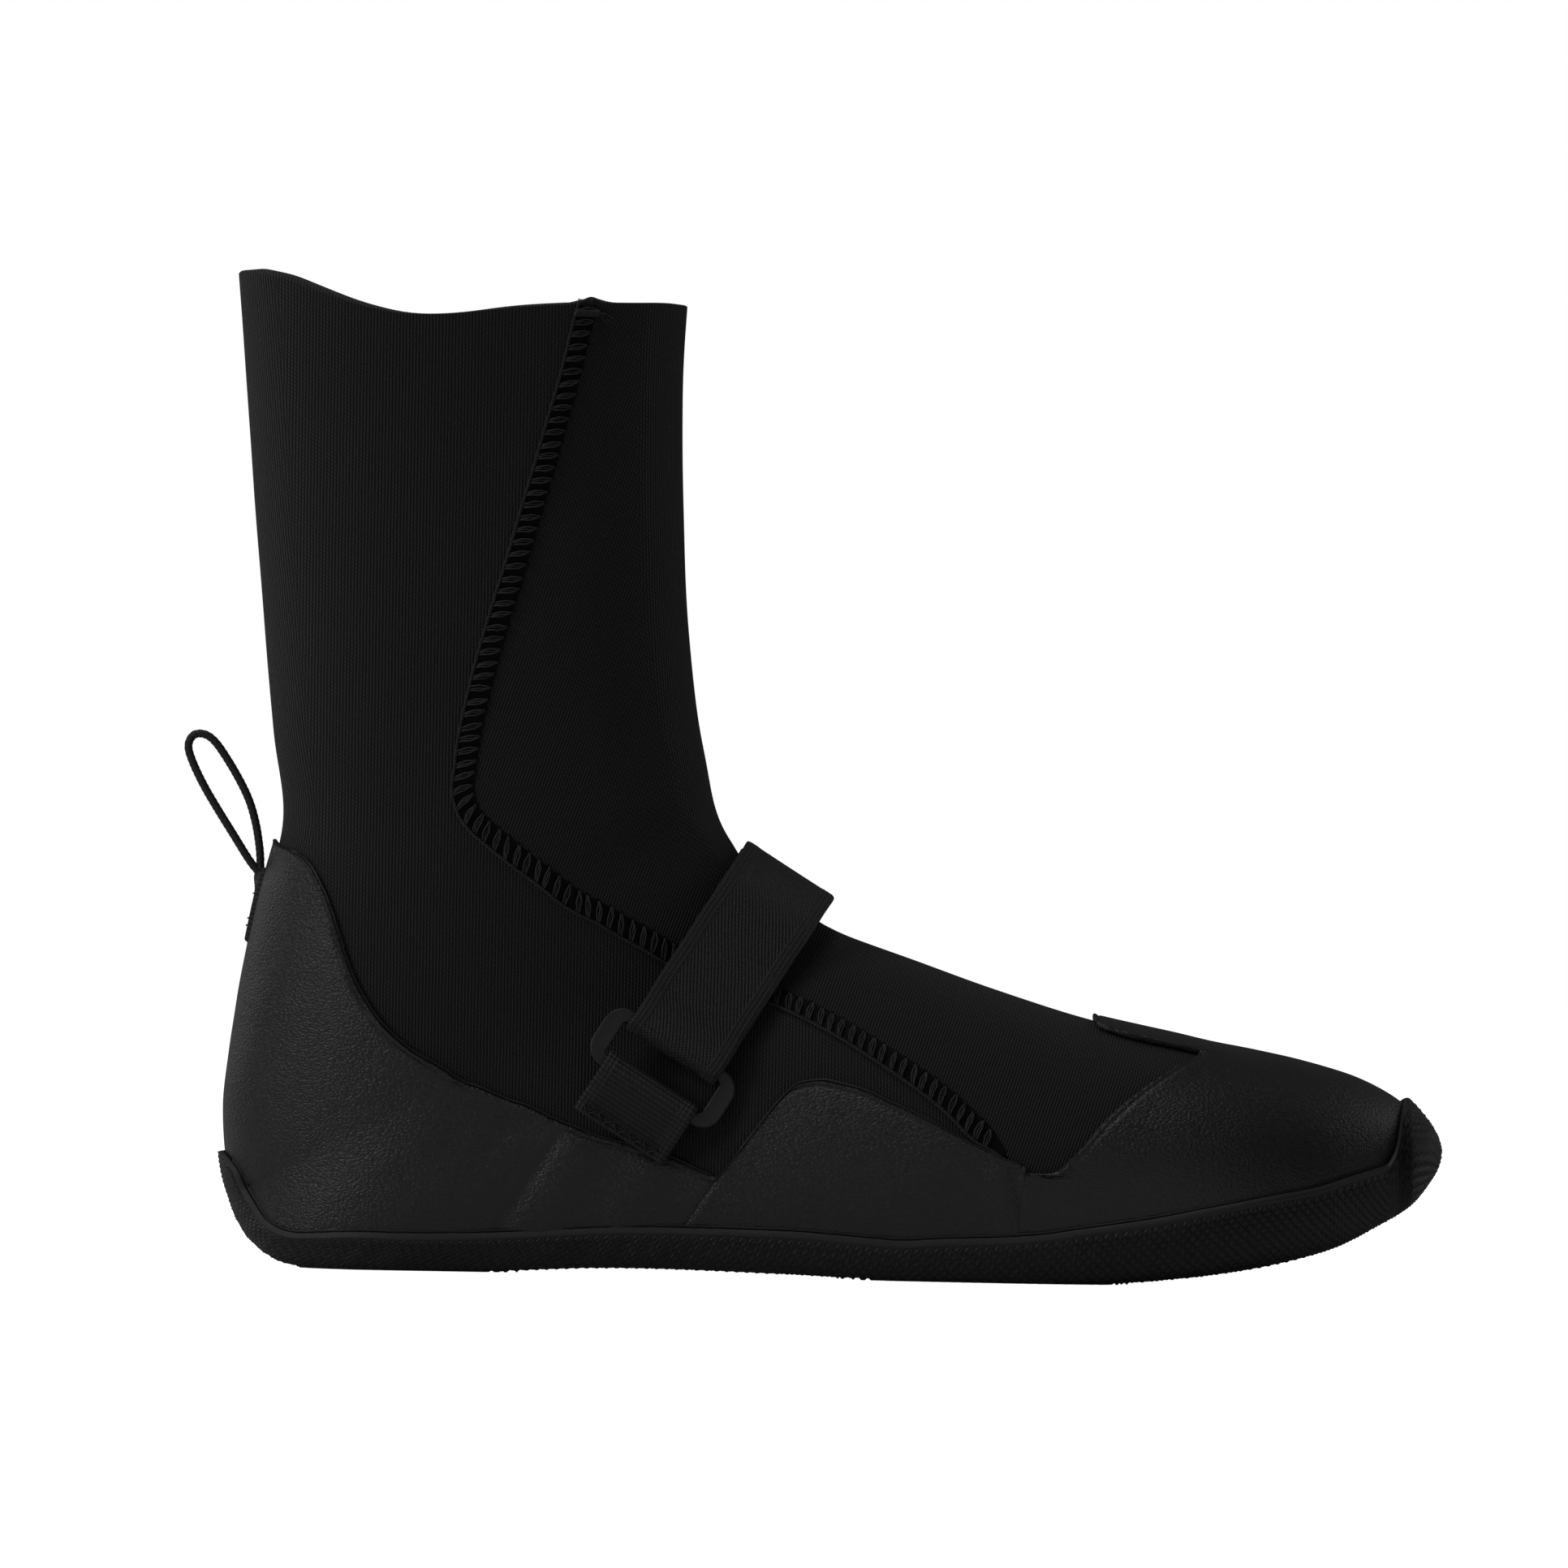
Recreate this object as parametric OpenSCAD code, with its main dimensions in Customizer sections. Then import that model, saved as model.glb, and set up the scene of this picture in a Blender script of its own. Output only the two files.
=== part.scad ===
// Right neoprene water boot, round toe, with an instep strap and a heel pull loop.
// +X runs from heel to toe, +Y to the inner side of the foot, +Z up.
// The origin lies on the ground under the ball of the foot, where the sole is flat.

/* [Overall] */
// Length of the sole from the heel tab to the toe bumper
boot_length = 295; // [240:1:340]
// Height of the cuff at the back, above the ground
boot_height = 240; // [180:1:330]
// Height of the instep above the ground, under the strap
instep_height = 83; // [70:1:98]
// Width of the foot across the ball
foot_width = 97; // [78:1:116]
// Width of the foot across the heel and ankle
heel_width = 70; // [58:1:84]
// Width of the leg across the cuff
leg_width = 80; // [64:1:100]
// Depth of the leg from front to back
leg_depth = 105; // [90:1:125]
// How far the cuff's rim dips on each side of the leg
rim_dip = 8.6; // [0:0.1:14]

/* [Layers] */
// Thickness of the neoprene
neoprene_t = 5; // [3:0.5:7]
// Thickness of the grained overlays and the toe cap
overlay_t = 0.8; // [0.6:0.1:1.2]
// Clearance between two layers that are glued together
layer_gap = 0.55; // [0.4:0.05:0.6]
// Thickness of the outsole's rand where it ends on the side
rand_t = 1.4; // [1:0.1:3]
// Thickness of the outsole under the foot
sole_t = 3.5; // [2.5:0.1:5]
// Width of a flatlock seam
seam_w = 6.2; // [4:0.1:8]
// Height of a flatlock seam's threads above the neoprene
seam_t = 0.5; // [0.3:0.1:0.6]

/* [Strap] */
// Width of the strap
strap_w = 25; // [18:0.5:30]
// Thickness of the strap's webbing
web_t = 1; // [0.8:0.1:1.4]
// Thickness of the hook patch and of the loop patch
patch_t = 0.4; // [0.3:0.1:0.7]
// Angle of the strap above the ground, seen from the side
strap_angle = 58; // [50:1:66]
// Height of the ring's upper bar along the strap from the strap's centre
ring_rise = 1.2; // [-4:0.1:6]
// Distance between the centres of the ring's two long bars
ring_pitch = 12.2; // [9:0.1:16]
// Width of the ring's long bars
ring_bar = 3; // [2:0.1:4]
// Thickness of the ring
ring_t = 2; // [1.5:0.1:3]
// Width of the ring's end plates
ring_end = 4.5; // [3:0.1:6]
// Clearance between the webbing and the ends of the ring's slot
slot_gap = 1; // [0.5:0.1:3]
// Where the strap's free end lies, as an angle around the instep
free_end_angle = 112; // [96:1:130]

/* [Pull loop] */
// Diameter of the pull loop's cord
cord_d = 2; // [1.6:0.1:2.6]
// Width of the tab that holds the cord's ends
tab_w = 8; // [6:0.5:12]
// Thickness of that tab
tab_t = 1.2; // [0.8:0.1:1.6]

/* [Hidden] */
lateral = -1;
medial = 1;
// Air between pieces that move past each other
run_gap = 0.3;
// Air under the strap, which clears the flatlock seams
strap_gap = layer_gap + seam_t + 0.1;
// The rows' step along the boot
step = 0.5;

// Scales from the design sizes of the station table
kx = boot_length / 295;
// Distance from the heel to the origin
ball_x = 185 * kx;
kf = instep_height / 83;
ankle_z = 110 * kf;
ks = (boot_height - ankle_z) / 130;
kfoot = foot_width / 97;
kheel = heel_width / 70;
kleg = leg_width / 80;

// Stations from the cuff, round the ankle and along the foot to the toe. Each is a line across
// the side view from the front (or top) to the back (or sole), with the skin's half widths there.
// [front x, front z, back x, back z, lateral half width, medial half width,
//  where it is widest as a fraction of the line, flat share of the sole, sideways shift]
STATIONS = [
    leg(0.4, 3.3, 232.9, 238.2, 40, 0.5),
    leg(2.8, 0.1, 212, 212, 39.5, 0.5),
    leg(5.2, -1.6, 183, 183, 39, 0.5),
    leg(7.9, -2.8, 155, 155, 38, 0.5),
    leg(10.7, -2.7, 130, 128, 36.5, 0.5),
    heel(117.7, 110, 13.2, 107, 35.5, 0.5),
    heel(122, 101.5, 8.4, 86, 35, 0.52),
    heel(126.5, 96.8, 4.2, 62, 35, 0.54),
    heel(131, 93, 1.6, 37, 35, 0.56),
    heel(135, 90, 4.6, 17, 35, 0.58),
    foot(138.5, 87.5, 14, 7.2, 35.5, 35, 0.6, 0.55, 0),
    foot(142, 85, 31, 5, 36, 35.5, 0.62, 0.84, 0),
    foot(146, 82.8, 58, 5.2, 37, 36, 0.63, 0.86, 0),
    foot(152, 80.3, 95, 6.8, 40, 37, 0.64, 0.86, 0),
    foot(166, 75.5, 135, 6.2, 45, 41, 0.66, 0.87, 0),
    foot(186, 68.8, 170, 5.2, 48.5, 45, 0.68, 0.88, 0),
    foot(209, 62, 205, 5, 49.5, 47.5, 0.69, 0.88, 0),
    foot(236, 56.3, 237, 7.8, 46, 46, 0.7, 0.86, 0.5),
    foot(258, 52, 260, 12.2, 39, 39, 0.7, 0.82, 2.5),
    foot(274, 47.2, 275, 17.5, 29, 29, 0.66, 0.75, 5),
    foot(285.2, 40.5, 285.6, 22.6, 17, 17, 0.6, 0.6, 6.5),
    foot(291.2, 30.8, 291.2, 30.8, 0, 0, 0.5, 0, 7.5),
    foot(285.6, 22.6, 285.2, 40.5, -17, -17, 0.6, 0.6, 6.5)];
LAST = len(STATIONS) - 1;
// The station at the very tip of the toe
TIP = 21;
// From this station on, the section has a flat sole
FLAT_FROM = 9;

function leg_z(z) = z > 110 ? ankle_z + (z - 110) * ks : z * kf;
function leg(bx, extra, fz, bz, w, wide) =
    [bx * kx + leg_depth + extra, leg_z(fz), bx * kx, leg_z(bz), w * kleg, w * kleg, wide, 0, 0];
function heel(fx, fz, bx, bz, w, wide) =
    [fx * kx + (leg_depth - 105) * max(0, 1 - (fx - 117.7) / 20), fz * kf, bx * kx, bz * kf,
        w * kheel, w * kheel, wide, 0, 0];
function foot(fx, fz, bx, bz, wl, wm, wide, flat, shift) =
    let (k = fx < 152 ? kheel + (kfoot - kheel) * (fx - 131) / 21 : kfoot)
    [fx * kx, fz * kf, bx * kx, bz * kf, wl * k, wm * k, wide, flat, shift];

// Seam lines as [station, place in the section]. A place is 0 at the front or top, 1 at the
// widest point, 2 at the back or the sole's edge, and 3 at the middle of the flat sole.
FLATLOCK = [[0, 0.6], [1, 0.675], [1.5, 0.731], [2, 0.793], [2.5, 0.853], [3, 0.917],
    [3.5, 0.978], [4, 1.03], [4.4, 1.065], [4.7, 1.086], [4.9, 1.078], [5.1, 1.048],
    [5.3, 1], [5.65, 0.924], [6.1, 0.838], [6.6, 0.768], [7.2, 0.68], [8.35, 0.575],
    [10, 0.512], [12, 0.512], [12.8, 0.537], [13.4, 0.573], [14.2, 0.658], [14.8, 0.75],
    [15.1, 0.828], [15.35, 0.9], [15.5, 0.97], [16, 1.08], [18, 1.12], [21, 1.12]];
HEEL_EDGE = [[5.25, 2], [5.45, 1.66], [5.85, 1.511], [6.2, 1.443], [6.7, 1.373], [7.15, 1.312],
    [7.65, 1.231], [8.2, 1.142], [8.85, 1.043], [9.7, 0.976], [10.6, 0.957], [11.6, 0.985],
    [12.4, 1.048], [12.9, 1.118], [13.3, 1.202]];
MID_EDGE = [[13.32, 1.204], [13.4, 0.87], [13.45, 0.811], [13.52, 0.793], [13.7, 0.775], [14, 0.779],
    [14.25, 0.796], [14.65, 0.829], [15.15, 0.893], [15.5, 0.935]];
RAND_EDGE = [[8.45, 1.97], [8.5, 1.9], [8.6, 1.836], [8.8, 1.779], [9, 1.766], [9.3, 1.754],
    [9.6, 1.758], [10, 1.726], [10.3, 1.662], [10.8, 1.61], [12.2, 1.578], [13.3, 1.538],
    [14.1, 1.506], [14.7, 1.511], [15.05, 1.462], [15.4, 1.417], [15.7, 1.369], [16, 1.3],
    [16.5, 1.206], [17, 1.105], [17.7, 1.018], [18.5, 0.989], [19.3, 0.968], [19.5, 0.86],
    [19.75, 0.3], [19.85, 0]];
// The toe cap's rear edge as [place, station], with a blunt tongue on top
CAP_EDGE = [[0, 16], [0.19, 16.04], [0.23, 16.3], [0.25, 16.93], [0.4, 16.71], [0.57, 16.41],
    [0.71, 16.16], [0.92, 15.84], [0.98, 15.7], [1, 15.54], [2.2, 15.62]];
// How far the overlays wrap under the sole's edge
WRAP = 2.2;

// A smooth curve through a list of values
function blend(a, b, c, d, u) =
    0.5 * (2 * b + (c - a) * u + (2 * a - 5 * b + 4 * c - d) * u * u + (3 * b - 3 * c + d - a) * u * u * u);
function station(s) =
    let (i = min(LAST - 1, max(0, floor(s))))
    blend(STATIONS[max(0, i - 1)], STATIONS[i], STATIONS[i + 1], STATIONS[min(LAST, i + 2)], s - i);

// What a section needs: its ends, their outward normals, half widths, and the rim's dip
function section(s) =
    let (
        r = station(s),
        a = station(max(0, s - 0.02)),
        b = station(s + 0.02),
        tf = [b[0] - a[0], b[1] - a[1]],
        tb = [b[2] - a[2], b[3] - a[3]])
    [[r[0], r[1]], [r[2], r[3]],
        s < TIP ? [-tf[1], tf[0]] / norm(tf) : [1, 0], s < TIP ? [tb[1], -tb[0]] / norm(tb) : [1, 0],
        r[4], r[5], r[6], s <= FLAT_FROM ? 0 : max(0, r[7]), s <= FLAT_FROM ? 0 : r[8],
        rim_dip * pow(max(0, 1 - s / 1.5), 1.5)];

// A point of the boot's skin, moved out by off
function skin(c, q, side, off) =
    let (
        w = side < 0 ? c[4] : c[5],
        out = w + off * min(1, w / 18),
        flat = c[7] * w,
        turn = 90 * min(q, 2),
        t = turn <= 90 ? c[6] * (1 - cos(turn)) : c[6] - (1 - c[6]) * cos(turn),
        y = q > 2 ? flat * (3 - q) : turn <= 90 ? out * sin(turn) : flat + (out - flat) * sin(turn),
        f = c[0] + off * c[2],
        p = f + (c[1] + off * c[3] - f) * t)
    [p[0] - ball_x, c[8] + side * y, p[1] - c[9] * pow(sin(180 * pow(t, 1.36)), 2)];

// The skin's outward normal
function skin_normal(s, q, side) =
    let (
        a = section(max(0.01, s - 0.05)),
        b = section(s + 0.05),
        c = section(s),
        n = cross(skin(b, q, side, 0) - skin(a, q, side, 0),
            skin(c, q + 0.02, side, 0) - skin(c, q - 0.02, side, 0)))
    side * n / norm(n);

// Faces of a closed shell: outer grid, inner grid and the edges between them. The column split
// parts the grid in two from row split_from on, and the outer columns meet from row meet_from on.
// With tip, the last row is a single point.
function quad(a, b, c, d) = [[a, b, c], [a, c, d]];
function shell_faces(rows, cols, split, split_from, meet_from, tip) =
    let (n = rows * cols, last = (rows - 1) * cols)
    [for (r = [0:rows - (tip ? 3 : 2)]) for (c = [0:cols - 2]) if (c != split)
        let (i = r * cols + c)
        each concat(quad(i, i + 1, i + cols + 1, i + cols),
            quad(n + i, n + i + cols, n + i + cols + 1, n + i + 1)),
    for (r = [0:rows - 2]) if (r < meet_from)
        let (i = r * cols, j = r * cols + cols - 1)
        each concat(quad(i, i + cols, n + i + cols, n + i), quad(j, n + j, n + j + cols, j + cols)),
    for (r = [0:rows - 2]) if (split >= 0 && r >= split_from)
        let (i = r * cols + split, j = i + 1)
        each concat(quad(i, n + i, n + i + cols, i + cols), quad(j, j + cols, n + j + cols, n + j)),
    for (c = [0:cols - 2]) if (c != split)
        let (j = last + c, k = last - cols + c)
        each concat(quad(c, n + c, n + c + 1, c + 1),
            tip ? [[k, k + 1, last], [n + k, n + last, n + k + 1]] : quad(j, j + 1, n + j + 1, n + j))];

// A closed shell from two grids of points
module shell(outer, inner, split = -1, split_from = 0, meet_from = 1000, tip = false) {
    rows = len(outer);
    cols = len(outer[0]);
    polyhedron(
        points = [for (row = outer) each row, for (row = inner) each row],
        faces = shell_faces(rows, cols, split, split_from, meet_from, tip));
}

function steps(from, to) = [for (i = [0:ceil((to - from) / step)]) min(to, from + i * step)];
function tidy_steps(list) = [for (i = [0:len(list) - 1]) if (i == 0 || list[i] - list[i - 1] > 0.01) list[i]];
function rows_of(from, to) = tidy_steps(concat([from], [for (s = steps(ceil(from / step) * step, to)) s]));

// A U-shaped wrap from the medial edge round the back or under the sole to the lateral edge.
// Its two wings part where the section gets a flat sole.
function wings(rows, edge, half, end_place, off) =
    [for (s = rows)
        let (
            c = section(s),
            q0 = lookup(s, edge),
            q1 = s <= FLAT_FROM ? 2 : end_place)
        [for (i = [0:2 * half + 1])
            let (side = i <= half ? medial : lateral, k = i <= half ? i : 2 * half + 1 - i)
            skin(c, q0 + (q1 - q0) * k / half, side, off)]];
module wrap(rows, edge, half, end_place, out, in)
    shell(wings(rows, edge, half, end_place, out), wings(rows, edge, half, end_place, in),
        split = half, split_from = len([for (s = rows) if (s < FLAT_FROM) s]));

// A patch over the top from the lateral edge to the medial edge
function saddle(rows, edge, half, off) =
    [for (s = rows)
        let (c = section(s), q0 = lookup(s, edge))
        [for (i = [-half:half]) skin(c, q0 * abs(i) / half, i < 0 ? lateral : medial, off)]];

// A patch on one side
function side_patch(rows, edge, cols, end_place, side, off) =
    [for (s = rows)
        let (c = section(s), q0 = lookup(s, edge))
        [for (i = side < 0 ? [cols:-1:0] : [0:cols]) skin(c, q0 + (end_place - q0) * i / cols, side, off)]];

// The neoprene sock
panel_rows = rows_of(0, 20.5);
seam_gap = 0.012;
module rear_panel() {
    edge = [for (k = FLATLOCK) [k[0], k[1] + seam_gap / 2]];
    color([0.1, 0.1, 0.1]) wrap(panel_rows, edge, 8, 1.96, 0, -neoprene_t);
}
module front_panel() {
    edge = [for (k = FLATLOCK) [k[0], k[1] - seam_gap / 2]];
    color([0.08, 0.08, 0.08])
        shell(saddle(panel_rows, edge, 7, 0), saddle(panel_rows, edge, 7, -neoprene_t));
}
function bottom_grid(rows, half, off) =
    [for (s = rows)
        let (c = section(s))
        [for (i = [-half:half]) skin(c, 3 - 0.96 * abs(i) / half, i < 0 ? medial : lateral, off)]];
module bottom_panel() {
    rows = rows_of(FLAT_FROM + 0.3, 20.5);
    color([0.12, 0.12, 0.12]) shell(bottom_grid(rows, 4, 0), bottom_grid(rows, 4, -neoprene_t));
}

// Overlays on the neoprene
over_in = layer_gap;
over_out = layer_gap + overlay_t;
module heel_overlay()
    color([0.16, 0.16, 0.16]) wrap(rows_of(5.32, 13.3), HEEL_EDGE, 7, WRAP, over_out, over_in);
module mid_overlay(side) {
    rows = [13.34, 13.4, 13.45, 13.52, 13.7, 14, 14.25, 14.65, 15.15, 15.5];
    color([0.15, 0.15, 0.15])
        shell(side_patch(rows, MID_EDGE, 9, WRAP, side, over_out),
            side_patch(rows, MID_EDGE, 9, WRAP, side, over_in));
}
module lateral_overlay() mid_overlay(lateral);
module medial_overlay() mid_overlay(medial);
function cap_grid(places, rows, off) =
    let (half = len(places) - 1)
    [for (r = [0:rows])
        [for (i = [-half:half])
            let (
                q = places[abs(i)],
                s0 = lookup(q, CAP_EDGE))
            skin(section(s0 + (20.5 - s0) * r / rows), q, i < 0 ? lateral : medial, off)]];
module toe_cap() {
    places = [0, 0.19, 0.23, 0.25, 0.4, 0.57, 0.71, 0.82, 0.92, 0.98, 1, 1.3, 1.6, 1.8, 2, WRAP];
    color([0.14, 0.14, 0.14])
        shell(cap_grid(places, 11, over_out), cap_grid(places, 11, over_in));
}

// Rubber outsole with its rand, heel tab and toe bumper
sole_in = over_out + layer_gap;
sole_rows = tidy_steps([8.45, 8.5, 8.6, 8.8, 9, 9.3, 9.6, 10, 10.4, 10.8, 11.3, 11.8, 12.4, 13, 13.5,
    14, 14.5, 15, 15.5, 16, 16.4, 16.8, 17.2, 17.7, 18.2, 18.7, 19.1, 19.3, 19.5, 19.65, 19.75,
    19.85, 20.1, 20.4, 20.7, TIP]);
// Height under which the sole is planed flat
ground = 0.4;
// How much of the sole's extra thickness a row has: none up the heel or at the tip of the toe
function sole_share(s) = min(1, max(0, (s - 9) / 1.2)) * min(1, max(0, (TIP - 0.6 - s) / 2));
// Columns run from the medial rand, under the sole, to the lateral rand
function sole_columns(half, outside) =
    [for (s = sole_rows)
        let (
            c = section(s),
            q0 = lookup(s, RAND_EDGE),
            q1 = s <= FLAT_FROM ? 2 : 3)
        [for (i = [0:2 * half])
            let (
                k = i <= half ? i / half : 2 - i / half,
                q = q0 + (q1 - q0) * k,
                down = min(1, (q - q0) / (2.01 - q0)),
                extra = (sole_t - rand_t) * down * down * sole_share(s),
                p = skin(c, q, i <= half ? medial : lateral, sole_in + (outside ? rand_t + extra : 0)))
            outside && p[2] < ground ? [p[0], p[1], 0] : p]];
module outsole()
    color([0.17, 0.17, 0.17])
        shell(sole_columns(9, true), sole_columns(9, false),
            meet_from = len([for (s = sole_rows) if (lookup(s, RAND_EDGE) > 0) s]), tip = true);

// Flatlock seams: a low ridge of thread that follows the seam line
function seam_section(s, side) =
    let (
        q = lookup(s, FLATLOCK),
        n = skin_normal(s, q, side),
        p = skin(section(s), q, side, 0),
        t = skin(section(s + 0.05), lookup(s + 0.05, FLATLOCK), side, 0)
            - skin(section(max(0, s - 0.05)), lookup(max(0, s - 0.05), FLATLOCK), side, 0),
        across = cross(n, t) / norm(cross(n, t)),
        half = seam_w / 2)
    [p + n * (layer_gap - 0.05) - across * half, p + n * (layer_gap + seam_t) - across * half * 0.8,
        p + n * (layer_gap + seam_t) + across * half * 0.8, p + n * (layer_gap - 0.05) + across * half];
module flatlock(side) {
    stops = concat([0.03], [for (s = [0.4:0.4:4.4]) s], [4.7, 4.9, 5.05, 5.3, 5.5, 5.75, 6, 6.3, 6.7,
        7.2, 8, 9, 10, 11, 12, 12.5, 12.9, 13.25, 13.6, 13.9, 14.2, 14.5, 14.75, 15, 15.15, 15.3]);
    rings = [for (s = stops) seam_section(s, side)];
    color([0.07, 0.07, 0.07]) tube(rings);
}
module flatlock_lateral() flatlock(lateral);
module flatlock_medial() flatlock(medial);

// A closed tube through rings of points
module tube(rings) {
    n = len(rings);
    m = len(rings[0]);
    polyhedron(
        points = [for (r = rings) each r],
        faces = concat(
            [for (i = [0:n - 2]) for (j = [0:m - 1])
                let (k = (j + 1) % m)
                each [[i * m + j, i * m + k, (i + 1) * m + k], [i * m + j, (i + 1) * m + k, (i + 1) * m + j]]],
            [[for (j = [m - 1:-1:0]) j]],
            [[for (j = [0:m - 1]) (n - 1) * m + j]]));
}

// A frame on the skin: x across the seam, y along it, z outwards
module on_seam(s, side) {
    q = lookup(s, FLATLOCK);
    n = skin_normal(s, q, side);
    p = skin(section(s), q, side, 0);
    t0 = skin(section(s + 0.05), lookup(s + 0.05, FLATLOCK), side, 0) - p;
    t = (t0 - n * (t0 * n)) / norm(t0 - n * (t0 * n));
    x = cross(t, n);
    multmatrix([[x[0], t[0], n[0], p[0]], [x[1], t[1], n[1], p[1]], [x[2], t[2], n[2], p[2]], [0, 0, 0, 1]])
        children();
}
// Bar tacks that lock the flatlock seams at the cuff
tack_t = 0.7;
module bar_tack(side)
    color([0.05, 0.05, 0.05]) on_seam(0.25, side)
        translate([-seam_w / 2 - 0.5, -1.2, layer_gap + seam_t + 0.15]) cube([seam_w + 1, 2.4, tack_t]);
module bar_tack_lateral() bar_tack(lateral);
module bar_tack_medial() bar_tack(medial);

// The strap's plane: u outwards to the lateral side, v up along the strap, m along the ring's bars
strap_centre = [108.8 * kx - ball_x, 53.5 * kf];
function to_strap(p) =
    let (dx = p[0] - strap_centre[0], dz = p[2] - strap_centre[1])
    [-p[1], dx * cos(strap_angle) + dz * sin(strap_angle), dx * sin(strap_angle) - dz * cos(strap_angle)];
strap_points = [for (s = [5.6:0.2:15.4])
    let (c = section(s))
    for (q = [0:0.06:1.74]) for (side = [lateral, medial])
        let (p = to_strap(skin(c, q, side, 0)))
        if (abs(p[2]) <= strap_w / 2 + 1) [(atan2(p[1], p[0]) + 450) % 360 - 90, norm([p[0], p[1]])]];
// The skin's greatest radius under the strap's width, around the strap's plane
turn = 4;
raw_radius = [for (a = [-48:turn:232]) max([for (p = strap_points) if (abs(p[0] - a) < 4.5) p[1]])];
radius_table = [for (i = [0:len(raw_radius) - 1])
    let (
        a = raw_radius[max(0, i - 1)],
        b = raw_radius[i],
        c = raw_radius[min(len(raw_radius) - 1, i + 1)])
    [-48 + turn * i, max(b - 0.15, (a + 2 * b + c) / 4)]];
function at_angle(a, off) = (lookup(a, radius_table) + off) * [cos(a), sin(a)];
function arc_stops(a, b) = concat([a], [for (k = [ceil((a + 0.5) / turn) * turn:turn:b - 0.5]) k], [b]);
// A band around the boot between two angles and two heights above the skin
function band(a, b, low, high) =
    concat([for (k = arc_stops(a, b)) at_angle(k, high)],
        [for (k = [for (i = arc_stops(-b, -a)) -i]) at_angle(k, low)]);
module strap_plane()
    translate([strap_centre[0], 0, strap_centre[1]])
        multmatrix([[0, cos(strap_angle), -sin(strap_angle), 0], [-1, 0, 0, 0],
            [0, sin(strap_angle), cos(strap_angle), 0], [0, 0, 0, 1]])
            children();
module strap_shape(width)
    strap_plane() linear_extrude(width, center = true) children();

// The ring's two bars and the folds of webbing round them
fold_in = norm([ring_bar / 2, ring_t / 2]) + 0.2;
fold_out = fold_in + web_t;
bar_height = strap_gap + fold_out;
function angle_at_v(v) = atan2(v, lookup(0, radius_table) + bar_height);
upper_bar = at_angle(angle_at_v(ring_rise), bar_height);
low_guess = at_angle(angle_at_v(ring_rise - ring_pitch), bar_height);
ring_dir = (upper_bar - low_guess) / norm(upper_bar - low_guess);
lower_bar = upper_bar - ring_dir * ring_pitch;
ring_out = [ring_dir[1], -ring_dir[0]];
ring_tilt = atan2(ring_dir[1], ring_dir[0]);
slot_length = strap_w + 2 * slot_gap;
ring_length = slot_length + 2 * ring_end;

module ring() {
    corner = 5;
    mid = (upper_bar + lower_bar) / 2;
    height = ring_pitch + ring_bar;
    color([0.15, 0.15, 0.15])
        strap_plane() translate([mid[0], mid[1], 0]) rotate([0, 0, ring_tilt]) rotate([90, 0, 0])
            translate([0, 0, -ring_t / 2]) linear_extrude(ring_t) difference() {
                rounded(height, ring_length, corner);
                rounded(ring_pitch - ring_bar, slot_length, 1);
            }
}
module rounded(x, y, r)
    union() {
        square([x - 2 * r, y], center = true);
        square([x, y - 2 * r], center = true);
        for (i = [-1, 1]) for (j = [-1, 1])
            translate([i * (x / 2 - r), j * (y / 2 - r)]) circle(r, $fn = 48);
    }

// Points of an arc round a bar
function arc(centre, radius, from, to) =
    [for (i = [0:12]) let (a = from + (to - from) * i / 12) centre + radius * [cos(a), sin(a)]];

// The base webbing is folded round the lower bar, and its two plies end at the heel overlay's edge
function edge_limit(side) = max([for (s = [10:0.1:13.3])
    let (p = to_strap(skin(section(s), lookup(s, HEEL_EDGE), side, 0)))
    if (abs(p[2]) <= strap_w / 2 + 1) p[1]]);
edge_gap = 0.6;
base_end = atan2(edge_limit(lateral) + edge_gap, lookup(0, radius_table));
base_start = angle_at_v(lower_bar[1]);
// Angle at which the outer ply reaches the inner one
base_meet = (base_end + base_start) / 2 - 3;
module base_webbing()
    color([0.09, 0.09, 0.09]) strap_shape(strap_w) difference() {
        polygon(concat(
            [for (a = [base_end, base_meet, base_start - 4]) at_angle(a, strap_gap)],
            arc(lower_bar, fold_out, ring_tilt + 90, ring_tilt - 90),
            [for (a = [base_meet, base_end]) at_angle(a, strap_gap + 2 * web_t)]));
        polygon(concat(
            [for (a = [base_meet, base_start - 4]) at_angle(a, strap_gap + web_t)],
            arc(lower_bar, fold_in, ring_tilt + 90, ring_tilt - 90)));
    }
// Rows of stitches across the webbing, at angles around the strap's plane
stitch_l = 2;
stitch_t = 0.3;
module stitch_rows(angles, low)
    color([0.06, 0.06, 0.06])
        for (a = angles) for (i = [-4:4]) {
            p = at_angle(a, low);
            strap_plane() translate([p[0], p[1] - 0.3, i * (strap_w - 4) / 8 - stitch_l / 2])
                cube([stitch_t, 0.6, stitch_l]);
        }
module base_stitching()
    stitch_rows([base_end * 0.75 + base_meet * 0.25, base_end * 0.25 + base_meet * 0.75],
        strap_gap + 2 * web_t + 0.05);

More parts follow.
